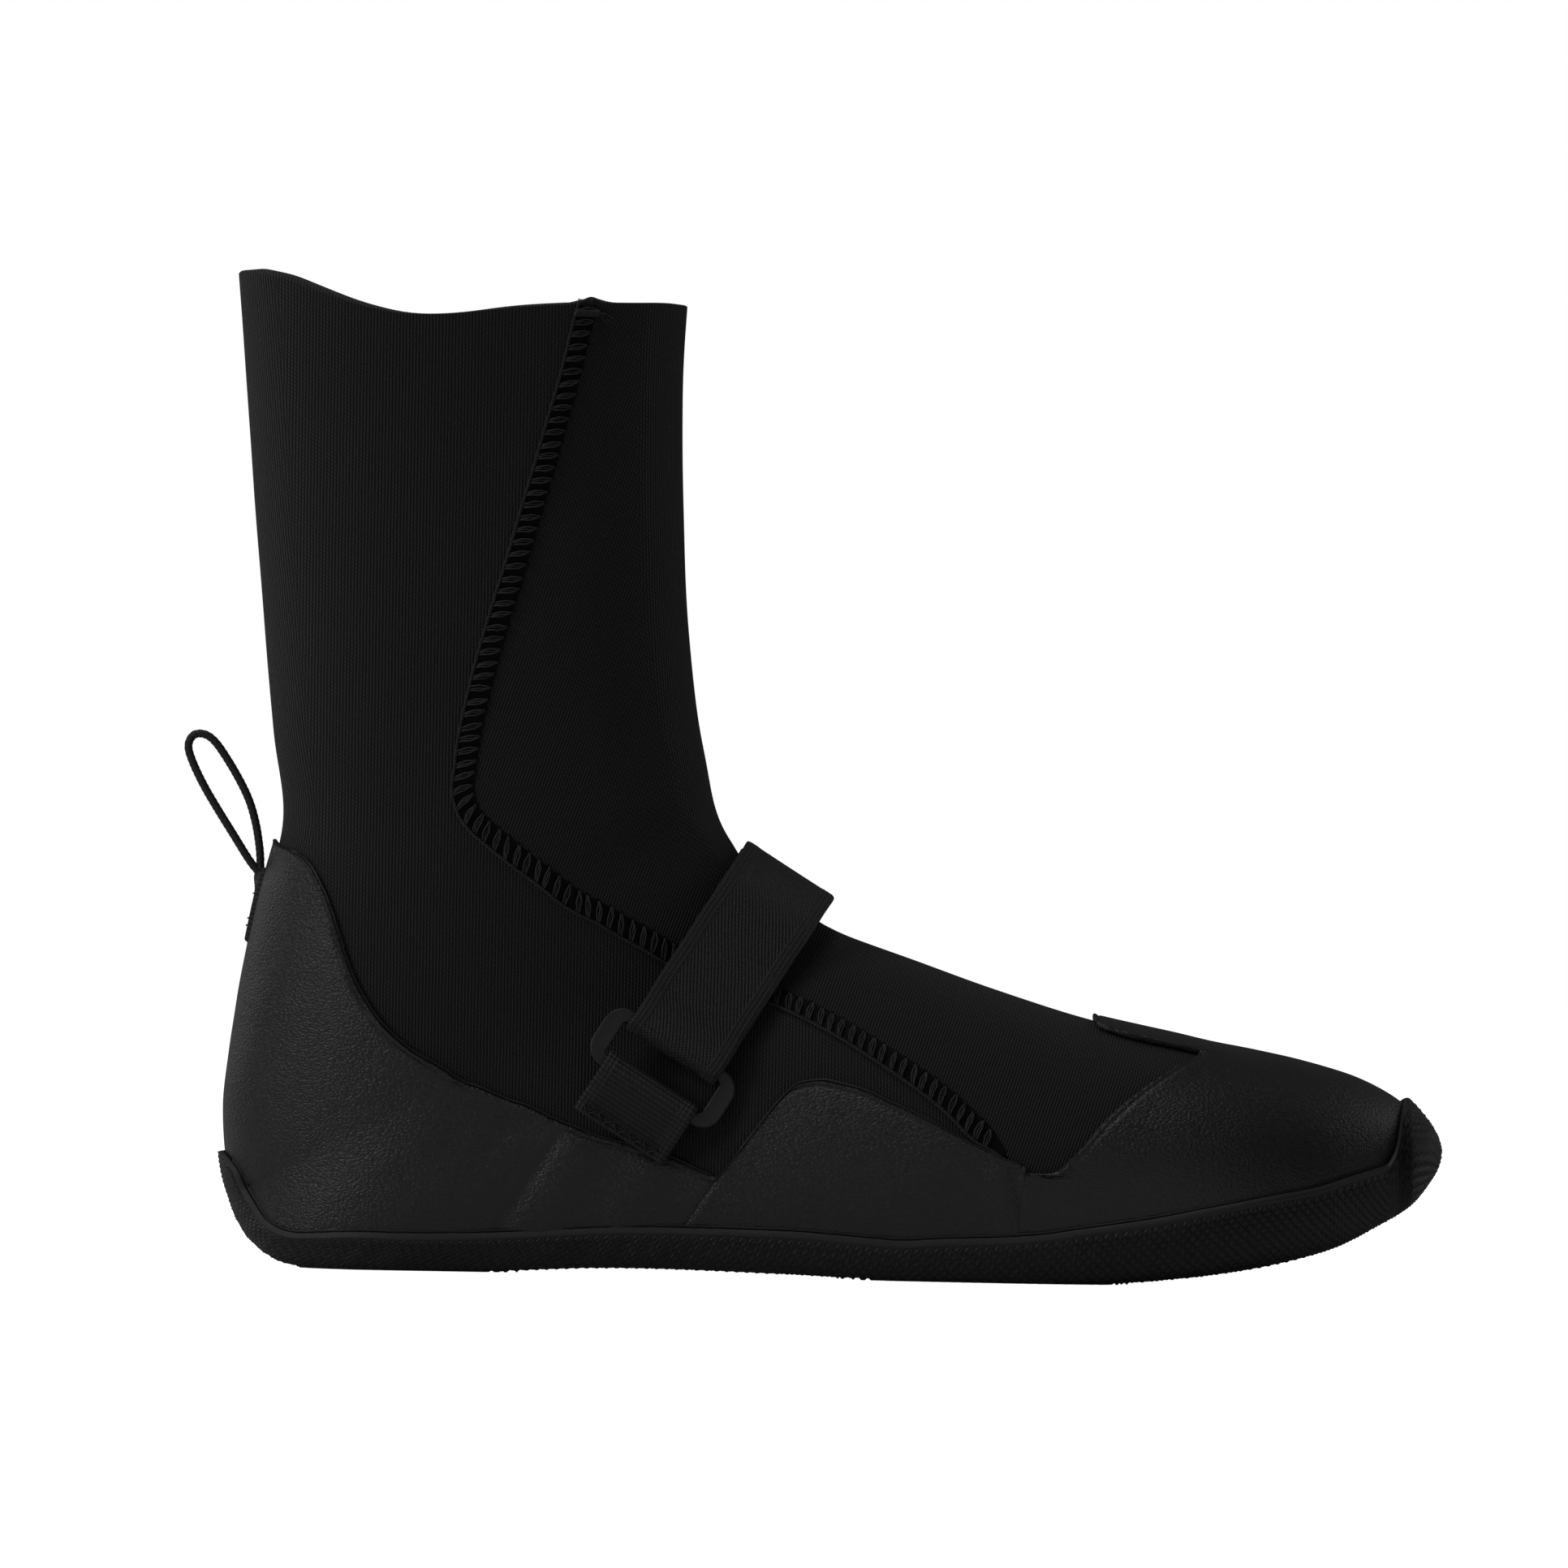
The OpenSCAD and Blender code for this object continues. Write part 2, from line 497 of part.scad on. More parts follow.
// The strap's fixed layer runs from the ring over the instep to the medial heel overlay
strap_start = angle_at_v(ring_rise + 4.2);
strap_end = 180 - atan2(edge_limit(medial) + edge_gap, lookup(180, radius_table));
pile_low = strap_gap + web_t + 0.05;
hook_low = pile_low + patch_t + run_gap;
top_low = hook_low + patch_t + 0.05;
module strap_under()
    color([0.08, 0.08, 0.08]) strap_shape(strap_w)
        polygon(band(strap_start, strap_end, strap_gap, strap_gap + web_t));
module loop_patch()
    color([0.12, 0.12, 0.12]) strap_shape(strap_w - 2)
        polygon(band(26, free_end_angle + 20, pile_low, pile_low + patch_t));
module hook_patch()
    color([0.11, 0.11, 0.11]) strap_shape(strap_w - 3)
        polygon(band(34, free_end_angle - 3, hook_low, hook_low + patch_t));

// The strap's fold rides on the ring, and the free layer bends open where it leaves the fold
module strap_fold()
    color([0.08, 0.08, 0.08]) strap_shape(strap_w)
        polygon(concat([upper_bar - ring_out * fold_out + ring_dir * 2.4],
            arc(upper_bar, fold_out, ring_tilt + 90, ring_tilt + 258),
            arc(upper_bar, fold_in, ring_tilt + 258, ring_tilt + 90),
            [upper_bar - ring_out * fold_in + ring_dir * 2.4]));
module strap_top() {
    lift = upper_bar + ring_out * fold_in + ring_dir * run_gap;
    lift_out = upper_bar + ring_out * fold_out + ring_dir * run_gap;
    color([0.09, 0.09, 0.09]) strap_shape(strap_w)
        polygon(concat([lift, lift_out],
            [for (k = arc_stops(18, free_end_angle)) at_angle(k, top_low + web_t)],
            [for (k = [for (i = arc_stops(-free_end_angle, -18)) -i]) at_angle(k, top_low)]));
}
// Stitches that hold the fixed layer on the medial side
module anchor_stitching()
    stitch_rows([strap_end - 6, strap_end - 16], strap_gap + web_t + 0.2 + stitch_t);

// Pull loop on the heel. Its points are measured from where it leaves the tab, along x and z.
tab_top = 5.75;
tab_bottom = 6.4;
tab_edge = 2 - asin(tab_w / heel_width) / 90;
tab_in = over_out + layer_gap;
module pull_tab() {
    rows = [tab_top, (tab_top * 2 + tab_bottom) / 3, (tab_top + tab_bottom * 2) / 3, tab_bottom];
    edge = [[0, tab_edge], [20, tab_edge]];
    color([0.07, 0.07, 0.07])
        wrap(rows, edge, 3, 2, tab_in + tab_t, tab_in);
}
loop_root = let (p = skin(section(5.66), 2, lateral, 0)) [p[0], p[2]];
LOOP_ROUTE = [[-2.6, 0.6], [-5, 3.6], [-9, 9.8], [-12.6, 15.4], [-16, 21], [-18.8, 26.6], [-20, 30.6],
    [-18.9, 33.2], [-16.4, 33.6], [-13.8, 32], [-10.8, 28], [-7.4, 22.4], [-5, 17.4], [-3.4, 12],
    [-2.5, 6.8], [-2.2, 3.6]];
module pull_loop() {
    n = len(LOOP_ROUTE);
    rings = [for (i = [0:n - 1])
        let (
            a = LOOP_ROUTE[max(0, i - 1)],
            b = LOOP_ROUTE[min(n - 1, i + 1)],
            t = (b - a) / norm(b - a),
            p = loop_root + LOOP_ROUTE[i])
        [for (k = [0:7])
            let (r = cord_d / 2 * [cos(45 * k), sin(45 * k)])
            [p[0] - t[1] * r[0], r[1], p[1] + t[0] * r[0]]]];
    color([0.06, 0.06, 0.06]) tube(rings);
}
module tab_stitching()
    color([0.05, 0.05, 0.05])
        for (s = [5.9, 6.3]) {
            p = skin(section(s), 2, lateral, tab_in + tab_t);
            translate([p[0] - 0.65, -tab_w * 0.3, p[2] - 0.35]) cube([0.35, tab_w * 0.6, 0.7]);
        }

rear_panel();
front_panel();
bottom_panel();
heel_overlay();
lateral_overlay();
medial_overlay();
toe_cap();
outsole();
flatlock_lateral();
flatlock_medial();
bar_tack_lateral();
bar_tack_medial();
base_webbing();
base_stitching();
ring();
strap_under();
loop_patch();
anchor_stitching();
strap_fold();
strap_top();
hook_patch();
pull_loop();
pull_tab();
tab_stitching();
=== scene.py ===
import math

import bmesh
import bpy
import numpy as np
from mathutils import Matrix, Vector


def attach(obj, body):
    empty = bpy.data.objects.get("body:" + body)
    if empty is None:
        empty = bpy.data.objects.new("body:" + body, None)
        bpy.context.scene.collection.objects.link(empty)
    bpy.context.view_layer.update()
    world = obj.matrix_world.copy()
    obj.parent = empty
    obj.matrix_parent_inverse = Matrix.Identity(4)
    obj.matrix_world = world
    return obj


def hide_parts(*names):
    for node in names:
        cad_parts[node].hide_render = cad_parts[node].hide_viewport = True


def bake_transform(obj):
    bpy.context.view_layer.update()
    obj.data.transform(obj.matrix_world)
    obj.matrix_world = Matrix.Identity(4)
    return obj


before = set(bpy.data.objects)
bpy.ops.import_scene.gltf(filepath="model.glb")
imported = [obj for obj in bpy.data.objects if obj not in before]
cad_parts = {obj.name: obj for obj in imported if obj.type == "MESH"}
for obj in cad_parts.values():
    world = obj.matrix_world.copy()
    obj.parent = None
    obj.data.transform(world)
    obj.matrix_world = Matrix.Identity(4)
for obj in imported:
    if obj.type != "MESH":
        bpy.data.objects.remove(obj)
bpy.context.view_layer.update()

MM = 0.001
MERGE_WITHIN = 2e-6
LENS_MM = 238.2
SENSOR_MM = 36
CAMERA_AT = (-0.0511, -2.5, 0.1173)
CAMERA_ROLL = 0.98
rng = np.random.default_rng(7)

# ---------------------------------------------------------------- camera and lights


def link(name, data):
    obj = bpy.data.objects.new(name, data)
    bpy.context.scene.collection.objects.link(obj)
    return obj


def camera():
    data = bpy.data.cameras.new("camera")
    data.lens = LENS_MM
    data.sensor_width = SENSOR_MM
    data.clip_start = 0.1
    data.clip_end = 20
    cam = link("camera", data)
    turn = Matrix.Rotation(math.radians(90), 4, "X") @ Matrix.Rotation(math.radians(CAMERA_ROLL), 4, "Z")
    cam.matrix_world = Matrix.Translation(CAMERA_AT) @ turn
    bpy.context.scene.camera = cam


def area(name, place, aim, size, power):
    data = bpy.data.lights.new(name, "AREA")
    data.shape = "RECTANGLE"
    data.size, data.size_y = size
    data.energy = power
    lamp = link(name, data)
    lamp.location = place
    lamp.rotation_mode = "QUATERNION"
    lamp.rotation_quaternion = (Vector(aim) - Vector(place)).to_track_quat("-Z", "Y")


def studio():
    area("key", (-1.35, -0.75, 0.85), (-0.1, 0, 0.1), (0.5, 0.7), 5.5)
    area("fill", (0.5, -1.7, 0.5), (-0.04, 0, 0.1), (0.8, 0.9), 1.1)
    area("rim_left", (-1.1, 0.9, 0.6), (-0.1, 0, 0.12), (0.5, 0.9), 1.6)
    area("rim_right", (1.2, 0.9, 0.7), (0.0, 0, 0.08), (0.5, 0.9), 1.0)
    area("top", (-0.25, -0.1, 1.4), (-0.03, 0, 0), (0.9, 0.6), 3.6)
    world = bpy.data.worlds.new("studio")
    bpy.context.scene.world = world
    world.use_nodes = True
    tree = world.node_tree
    back = tree.nodes["Background"]
    back.inputs["Color"].default_value = (1, 1, 1, 1)
    path = tree.nodes.new("ShaderNodeLightPath")
    level = tree.nodes.new("ShaderNodeMapRange")
    level.inputs["To Min"].default_value = 0.05
    level.inputs["To Max"].default_value = 1.0
    tree.links.new(path.outputs["Is Camera Ray"], level.inputs["Value"])
    tree.links.new(level.outputs[0], back.inputs["Strength"])
    view = bpy.context.scene.view_settings
    view.view_transform = "Standard"
    view.look = "None"


def floor():
    mesh = bpy.data.meshes.new("floor")
    w = 3.0
    mesh.from_pydata([(-w, -w, 0), (w, -w, 0), (w, w, 0), (-w, w, 0)], [], [(0, 1, 2, 3)])
    obj = link("floor", mesh)
    obj.location.z = -0.0003
    mat = bpy.data.materials.new("floor_pale")
    mat.use_nodes = True
    shader = mat.node_tree.nodes["Principled BSDF"]
    shader.inputs["Base Color"].default_value = (0.8, 0.8, 0.8, 1)
    shader.inputs["Roughness"].default_value = 0.8
    shader.inputs["Emission Color"].default_value = (1, 1, 1, 1)
    path = mat.node_tree.nodes.new("ShaderNodeLightPath")
    mat.node_tree.links.new(path.outputs["Is Camera Ray"], shader.inputs["Emission Strength"])
    mesh.materials.append(mat)


# ---------------------------------------------------------------- the boot's surface

BALL = 185.0
TIP = 21
FLAT_FROM = 9
STATIONS = np.array([
    (108.7, 232.9, 0.4, 238.2, 40, 40, 0.5, 0, 0),
    (107.9, 212, 2.8, 212, 39.5, 39.5, 0.5, 0, 0),
    (108.6, 183, 5.2, 183, 39, 39, 0.5, 0, 0),
    (110.1, 155, 7.9, 155, 38, 38, 0.5, 0, 0),
    (113, 130, 10.7, 128, 36.5, 36.5, 0.5, 0, 0),
    (117.7, 110, 13.2, 107, 35.5, 35.5, 0.5, 0, 0),
    (122, 101.5, 8.4, 86, 35, 35, 0.52, 0, 0),
    (126.5, 96.8, 4.2, 62, 35, 35, 0.54, 0, 0),
    (131, 93, 1.6, 37, 35, 35, 0.56, 0, 0),
    (135, 90, 4.6, 17, 35, 35, 0.58, 0, 0),
    (138.5, 87.5, 14, 7.2, 35.5, 35, 0.6, 0.55, 0),
    (142, 85, 31, 5, 36, 35.5, 0.62, 0.84, 0),
    (146, 82.8, 58, 5.2, 37, 36, 0.63, 0.86, 0),
    (152, 80.3, 95, 6.8, 40, 37, 0.64, 0.86, 0),
    (166, 75.5, 135, 6.2, 45, 41, 0.66, 0.87, 0),
    (186, 68.8, 170, 5.2, 48.5, 45, 0.68, 0.88, 0),
    (209, 62, 205, 5, 49.5, 47.5, 0.69, 0.88, 0),
    (236, 56.3, 237, 7.8, 46, 46, 0.7, 0.86, 0.5),
    (258, 52, 260, 12.2, 39, 39, 0.7, 0.82, 2.5),
    (274, 47.2, 275, 17.5, 29, 29, 0.66, 0.75, 5),
    (285.2, 40.5, 285.6, 22.6, 17, 17, 0.6, 0.6, 6.5),
    (291.2, 30.8, 291.2, 30.8, 0, 0, 0.5, 0, 7.5),
    (285.6, 22.6, 285.2, 40.5, -17, -17, 0.6, 0.6, 6.5)])
LAST = len(STATIONS) - 1
FLATLOCK = [(0, 0.6), (1, 0.675), (1.5, 0.731), (2, 0.793), (2.5, 0.853), (3, 0.917),
    (3.5, 0.978), (4, 1.03), (4.4, 1.065), (4.7, 1.086), (4.9, 1.078), (5.1, 1.048),
    (5.3, 1), (5.65, 0.924), (6.1, 0.838), (6.6, 0.768), (7.2, 0.68), (8.35, 0.575),
    (10, 0.512), (12, 0.512), (12.8, 0.537), (13.4, 0.573), (14.2, 0.658), (14.8, 0.75),
    (15.1, 0.828), (15.35, 0.9), (15.5, 0.97), (16, 1.08), (18, 1.12), (21, 1.12)]
HEEL_EDGE = [(5.25, 2), (5.45, 1.66), (5.85, 1.511), (6.2, 1.443), (6.7, 1.373), (7.15, 1.312),
    (7.65, 1.231), (8.2, 1.142), (8.85, 1.043), (9.7, 0.976), (10.6, 0.957), (11.6, 0.985),
    (12.4, 1.048), (12.9, 1.118), (13.3, 1.202)]
MID_EDGE = [(13.32, 1.204), (13.4, 0.87), (13.45, 0.811), (13.52, 0.793), (13.7, 0.775), (14, 0.779),
    (14.25, 0.796), (14.65, 0.829), (15.15, 0.893), (15.5, 0.935)]
RAND_EDGE = [(8.45, 1.97), (8.5, 1.9), (8.6, 1.836), (8.8, 1.779), (9, 1.766), (9.3, 1.754),
    (9.6, 1.758), (10, 1.726), (10.3, 1.662), (10.8, 1.61), (12.2, 1.578), (13.3, 1.538),
    (14.1, 1.506), (14.7, 1.511), (15.05, 1.462), (15.4, 1.417), (15.7, 1.369), (16, 1.3),
    (16.5, 1.206), (17, 1.105), (17.7, 1.018), (18.5, 0.989), (19.3, 0.968), (19.5, 0.86),
    (19.75, 0.3), (19.85, 0)]
CAP_EDGE = [(0, 16), (0.19, 16.04), (0.23, 16.3), (0.25, 16.93), (0.4, 16.71), (0.57, 16.41),
    (0.71, 16.16), (0.9, 15.86), (0.935, 15.79), (0.95, 15.7), (0.955, 15.54), (2.2, 15.62)]
WRAP = 2.2
LATERAL, MEDIAL = -1, 1
NEOPRENE, RAND, SOLE = 5.0, 1.4, 3.5
OVER_IN, OVER_OUT = 0.55, 1.35
SOLE_IN = 1.9
SEAM_GAP = 0.006
RIM_ROWS = [0.0, 0.012, 0.03]
MID_FROM, MID_TO = 13.32, 15.5
STUD_PITCH = 2.4
TREAD, TREAD_PITCH = 0.8, 9.0
BUNDLE_PITCH = 3.02


def curve(table, smooth=True):
    """A monotone curve through a table's points."""
    x = np.array([p[0] for p in table], float)
    y = np.array([p[1] for p in table], float)
    h = np.diff(x)
    d = np.diff(y) / h
    m = np.zeros(len(x))
    m[0], m[-1] = d[0], d[-1]
    for i in range(1, len(x) - 1):
        if d[i - 1] * d[i] > 0:
            a, b = 2 * h[i] + h[i - 1], h[i] + 2 * h[i - 1]
            m[i] = (a + b) / (a / d[i - 1] + b / d[i])

    def at(v):
        v = np.clip(np.asarray(v, float), x[0], x[-1])
        i = np.clip(np.searchsorted(x, v, side="right") - 1, 0, len(x) - 2)
        t = (v - x[i]) / h[i]
        t2, t3 = t * t, t * t * t
        return ((2 * t3 - 3 * t2 + 1) * y[i] + (t3 - 2 * t2 + t) * h[i] * m[i]
            + (3 * t2 - 2 * t3) * y[i + 1] + (t3 - t2) * h[i] * m[i + 1])

    return at


flatlock_at = curve(FLATLOCK)
heel_at = curve(HEEL_EDGE)
mid_at = curve(MID_EDGE)
rand_at = curve(RAND_EDGE)
cap_at = curve(CAP_EDGE)


def unit(v):
    return v / (np.linalg.norm(v, axis=-1, keepdims=True) + 1e-12)


def spline(a, b, c, d, u):
    """Catmull-Rom spline from b to c."""
    square, cube = 2 * a - 5 * b + 4 * c - d, 3 * b - 3 * c + d - a
    return 0.5 * (2 * b + (c - a) * u + square * u ** 2 + cube * u ** 3)


def station(s):
    """All of the skin's values at station s, between the table's rows."""
    s = np.asarray(s, float)
    i = np.clip(np.floor(s).astype(int), 0, LAST - 1)
    before, after = STATIONS[np.maximum(0, i - 1)], STATIONS[np.minimum(LAST, i + 2)]
    return spline(before, STATIONS[i], STATIONS[i + 1], after, (s - i)[..., None])


def skin(s, q, side, off=0.0):
    """Points of the boot's skin in mm at station s and place q, moved out by off."""
    s, q, side, off = [np.array(v, float) for v in np.broadcast_arrays(s, q, side, off)]
    r, a, b = station(s), station(np.maximum(0, s - 0.02)), station(s + 0.02)
    tf, tb = b[..., 0:2] - a[..., 0:2], b[..., 2:4] - a[..., 2:4]
    at_tip = (s >= TIP)[..., None]
    nf = np.where(at_tip, [1.0, 0.0], unit(np.stack([-tf[..., 1], tf[..., 0]], -1)))
    nb = np.where(at_tip, [1.0, 0.0], unit(np.stack([tb[..., 1], -tb[..., 0]], -1)))
    w = np.where(side < 0, r[..., 4], r[..., 5])
    out = w + off * np.minimum(1, w / 18)
    flat = np.where(s <= FLAT_FROM, 0, np.maximum(0, r[..., 7])) * w
    yc = np.where(s <= FLAT_FROM, 0, r[..., 8])
    turn = np.radians(90 * np.minimum(q, 2))
    c, sn, tw = np.cos(turn), np.sin(turn), r[..., 6]
    upper = turn <= math.pi / 2
    t = np.where(upper, tw * (1 - c), tw - (1 - tw) * c)
    y = np.where(q > 2, flat * (3 - q), np.where(upper, out * sn, flat + (out - flat) * sn))
    f = r[..., 0:2] + off[..., None] * nf
    p = f + (r[..., 2:4] + off[..., None] * nb - f) * t[..., None]
    dip = 8.6 * np.maximum(0, 1 - s / 1.5) ** 1.5
    z = p[..., 1] - dip * np.sin(math.pi * np.maximum(t, 0) ** 1.36) ** 2
    return np.stack([p[..., 0] - BALL, yc + side * y, z], -1)


def normal(s, q, side):
    """The skin's outward normal."""
    a = skin(s + 0.05, q, side) - skin(np.maximum(0.01, np.asarray(s) - 0.05), q, side)
    b = skin(s, q + 0.02, side) - skin(s, q - 0.02, side)
    return np.asarray(side, float)[..., None] * unit(np.cross(a, b))


def noise(p, size, seed=0):
    """Smooth noise from -1 to 1 at points p, with features of about this size in mm."""
    g = np.random.default_rng(seed)
    total = np.zeros(p.shape[:-1])
    for _ in range(14):
        d = g.normal(size=3)
        d *= (0.7 + 0.9 * g.random()) / np.linalg.norm(d)
        total += np.sin(p @ d * (2 * math.pi / size) * 0.5 + g.random() * 6.28)
    return total / 5.5


def ramp(x, a, b):
    t = np.clip((x - a) / (b - a), 0, 1)
    return t * t * (3 - 2 * t)


# ---------------------------------------------------------------- mesh helpers


def grid_faces(keep, base=0, flip=False):
    """Quads of a grid of points, where keep says so."""
    rows, cols = keep.shape
    i = np.arange(rows)[:, None] * (cols + 1) + np.arange(cols)[None, :] + base
    f = np.stack([i, i + 1, i + cols + 2, i + cols + 1], -1)[keep]
    return f[:, ::-1] if flip else f


def strip(a, b, flip=False):
    """Quads between two rows of vertex numbers."""
    f = np.stack([a[:-1], a[1:], b[1:], b[:-1]], -1)
    return f[:, ::-1] if flip else f


def round_back(medial, lateral):
    """One grid across the centre line, from two half grids that both end on it."""
    return np.concatenate([medial, lateral[:, ::-1]], 1)


def lengths(p, axis):
    """Distance along a grid of points from its first row or column."""
    d = np.linalg.norm(np.diff(p, axis=axis), axis=-1)
    total = np.cumsum(d, axis=axis)
    zero = np.zeros_like(np.take(total, [0], axis=axis))
    return np.concatenate([zero, total], axis=axis)


def make(name, verts, faces, body, uv=None, replaces=(), slot=None, mat=None, sharp=50, merge=False):
    """An object from points in mm, with uvs in mm, that rides on a body of the frame if one is named."""
    verts = np.asarray(verts, float).reshape(-1, 3)
    faces = faces.tolist() if isinstance(faces, np.ndarray) else faces
    mesh = bpy.data.meshes.new(name)
    mesh.from_pydata((verts * MM).tolist(), [], faces)
    if uv is not None:
        index = np.empty(len(mesh.loops), np.int32)
        mesh.loops.foreach_get("vertex_index", index)
        layer = mesh.uv_layers.new(name="mm")
        layer.data.foreach_set("uv", uv[index].astype(np.float32).ravel())
    if merge:
        bm = bmesh.new()
        bm.from_mesh(mesh)
        bmesh.ops.remove_doubles(bm, verts=bm.verts, dist=MERGE_WITHIN)
        bm.to_mesh(mesh)
        bm.free()
    mesh.validate()
    mesh.shade_smooth()
    if sharp:
        mesh.set_sharp_from_angle(angle=math.radians(sharp))
    obj = link(name, mesh)
    mesh.materials.append(mat)
    if body:
        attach(obj, body)
    if replaces:
        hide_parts(*replaces)
    return obj


def make_slab(name, outer, inner, uv, replaces, slot, mat, body="boot", halves=False, **options):
    """A closed slab between two grids of points. If they are two halves, their middle columns aren't joined."""
    rows, cols = outer.shape[:2]
    n = rows * cols
    idx = np.arange(n).reshape(rows, cols)
    keep = np.ones((rows - 1, cols - 1), bool)
    if halves:
        keep[:, cols // 2 - 1] = False
    faces = [grid_faces(keep), grid_faces(keep, n, True)]
    faces += [strip(idx[:, 0], idx[:, 0] + n), strip(idx[:, -1], idx[:, -1] + n, True)]
    faces += [strip(idx[0], idx[0] + n, True), strip(idx[-1], idx[-1] + n)]
    verts = np.concatenate([outer.reshape(-1, 3), inner.reshape(-1, 3)])
    uv = np.concatenate([uv.reshape(-1, 2)] * 2)
    return make(name, verts, np.concatenate(faces), body, uv, replaces, slot, mat, **options)


def tube_faces(rows, sides, base=0, joined=False):
    """Faces of a tube's rows of points, capped at both ends or joined end to end."""
    faces = []
    for i in range(rows if joined else rows - 1):
        a, b = base + i * sides, base + (i + 1) % rows * sides
        faces += [(a + k, a + (k + 1) % sides, b + (k + 1) % sides, b + k) for k in range(sides)]
    if not joined:
        faces.append(tuple(range(base, base + sides))[::-1])
        faces.append(tuple(range(base + (rows - 1) * sides, base + rows * sides)))
    return faces


def make_tubes(name, paths, radius, replaces, slot, mat, sides=6):
    """Closed tubes along paths of points, thinner at their ends, as one object."""
    verts, faces, uvs = [], [], []
    a = np.arange(sides) * 2 * math.pi / sides
    for path in paths:
        p = np.asarray(path, float)
        t = unit(np.gradient(p, axis=0))
        x = np.cross([0.0, 0.0, 1.0] if abs(t[0][2]) < 0.9 else [1.0, 0.0, 0.0], t[0])
        faces += tube_faces(len(p), sides, len(verts) * sides)
        for i in range(len(p)):
            x = unit(x - t[i] * (x @ t[i]))
            r = radius * (0.55 if i in (0, len(p) - 1) else 1)
            verts.append(p[i] + r * (np.cos(a)[:, None] * x + np.sin(a)[:, None] * np.cross(t[i], x)))
            uvs.append(np.stack([a * radius, np.full(sides, i * 1.0)], -1))
    make(name, np.concatenate(verts), faces, "boot", np.concatenate(uvs), replaces, slot, mat, sharp=0)


# ---------------------------------------------------------------- materials


class Shader:
    """A procedural material, built node by node."""

    def __init__(self, name, base, rough, **sockets):
        self.mat = bpy.data.materials.new(name)
        self.mat.use_nodes = True
        self.tree = self.mat.node_tree
        self.out = self.tree.nodes["Principled BSDF"]
        self.base = base
        self.out.inputs["Base Color"].default_value = (base, base, base, 1)
        self.out.inputs["Roughness"].default_value = rough
        for key, value in sockets.items():
            self.out.inputs[key.replace("_", " ")].default_value = value

    def node(self, kind, out=0, props=(), **inputs):
        n = self.tree.nodes.new("ShaderNode" + kind)
        for key, value in dict(props).items():
            setattr(n, key, value)
        for key, value in inputs.items():
            numbered = key[0] == "i" and key[1:].isdigit()
            socket = n.inputs[int(key[1:]) if numbered else key.replace("_", " ")]
            if isinstance(value, bpy.types.NodeSocket):
                self.tree.links.new(value, socket)
            else:
                socket.default_value = value
        return n.outputs[out]

    def math(self, op, a, b=0.0, c=0.0):
        return self.node("Math", props={"operation": op}, i0=a, i1=b, i2=c)

    def mul(self, a, b):
        return self.math("MULTIPLY", a, b)

    def mad(self, a, b, c):
        return self.math("MULTIPLY_ADD", a, b, c)

    def mm(self):
        return self.node("UVMap", props={"uv_map": "mm"})

    def place(self):
        return self.node("TexCoord", out=3)

    def split(self, vector):
        n = self.tree.nodes.new("ShaderNodeSeparateXYZ")
        self.tree.links.new(vector, n.inputs[0])
        return n.outputs[0], n.outputs[1], n.outputs[2]

    def noise(self, scale, detail=3.0, rough=0.55, vector=None):
        at = vector or self.place()
        return self.node("TexNoise", Vector=at, Scale=scale, Detail=detail, Roughness=rough)

    def wave(self, x, pitch, phase=0.0):
        """A sine from 0 to 1 along x."""
        a = self.mad(x, 2 * math.pi / pitch, phase)
        return self.mad(self.math("SINE", a), 0.5, 0.5)

    def colour(self, factor, dark, light):
        """Grey from dark to light, both as a share of the base."""
        shades = self.tree.nodes.new("ShaderNodeValToRGB")
        for stop, share in zip(shades.color_ramp.elements, (dark, light)):
            stop.color = (*[self.base * share] * 3, 1)
        self.tree.links.new(factor, shades.inputs[0])
        self.tree.links.new(shades.outputs[0], self.out.inputs["Base Color"])

    def rough(self, factor, low, high):
        r = self.node("MapRange", Value=factor, To_Min=low, To_Max=high)
        self.tree.links.new(r, self.out.inputs["Roughness"])

    def bump(self, height, distance):
        b = self.node("Bump", Height=height, Distance=distance, Strength=1.0)
        self.tree.links.new(b, self.out.inputs["Normal"])


def jersey(name, base, pitch, slope, sheen):
    """Knit-faced neoprene: fine upright ribs with the loops of the knit along them."""
    m = Shader(name, base, 0.82, Sheen_Weight=sheen, Sheen_Roughness=0.45, Specular_IOR_Level=0.2)
    x, y, z = m.split(m.place())
    facing = m.split(m.node("TexCoord", out=1))[0]
    turned = m.node("MapRange", Value=m.math("ABSOLUTE", facing), From_Min=0.68, From_Max=0.76)
    lean = m.mad(z, -slope, x)
    wobble = m.mul(m.noise(160, 2), 0.0003)
    pitch = pitch * MM
    side = m.wave(m.math("ADD", lean, wobble), pitch)
    back = m.wave(m.math("ADD", y, wobble), pitch)
    ribs = m.node("Mix", props={"data_type": "FLOAT"}, Factor=turned, A=side, B=back)
    loops = m.wave(m.mad(lean, 0.5, z), pitch * 1.2)
    fuzz = m.noise(1800, 3, 0.6)
    knit = m.mul(ribs, m.mad(loops, 0.5, 0.5))
    height = m.mad(fuzz, 0.35, knit)
    cloud = m.noise(26, 3, 0.6)
    shade = m.mad(knit, 0.75, m.mul(m.math("ADD", cloud, fuzz), 0.16))
    m.colour(shade, 0.2, 2.7)
    m.rough(fuzz, 0.7, 0.92)
    m.bump(height, 0.0004)
    return m.mat


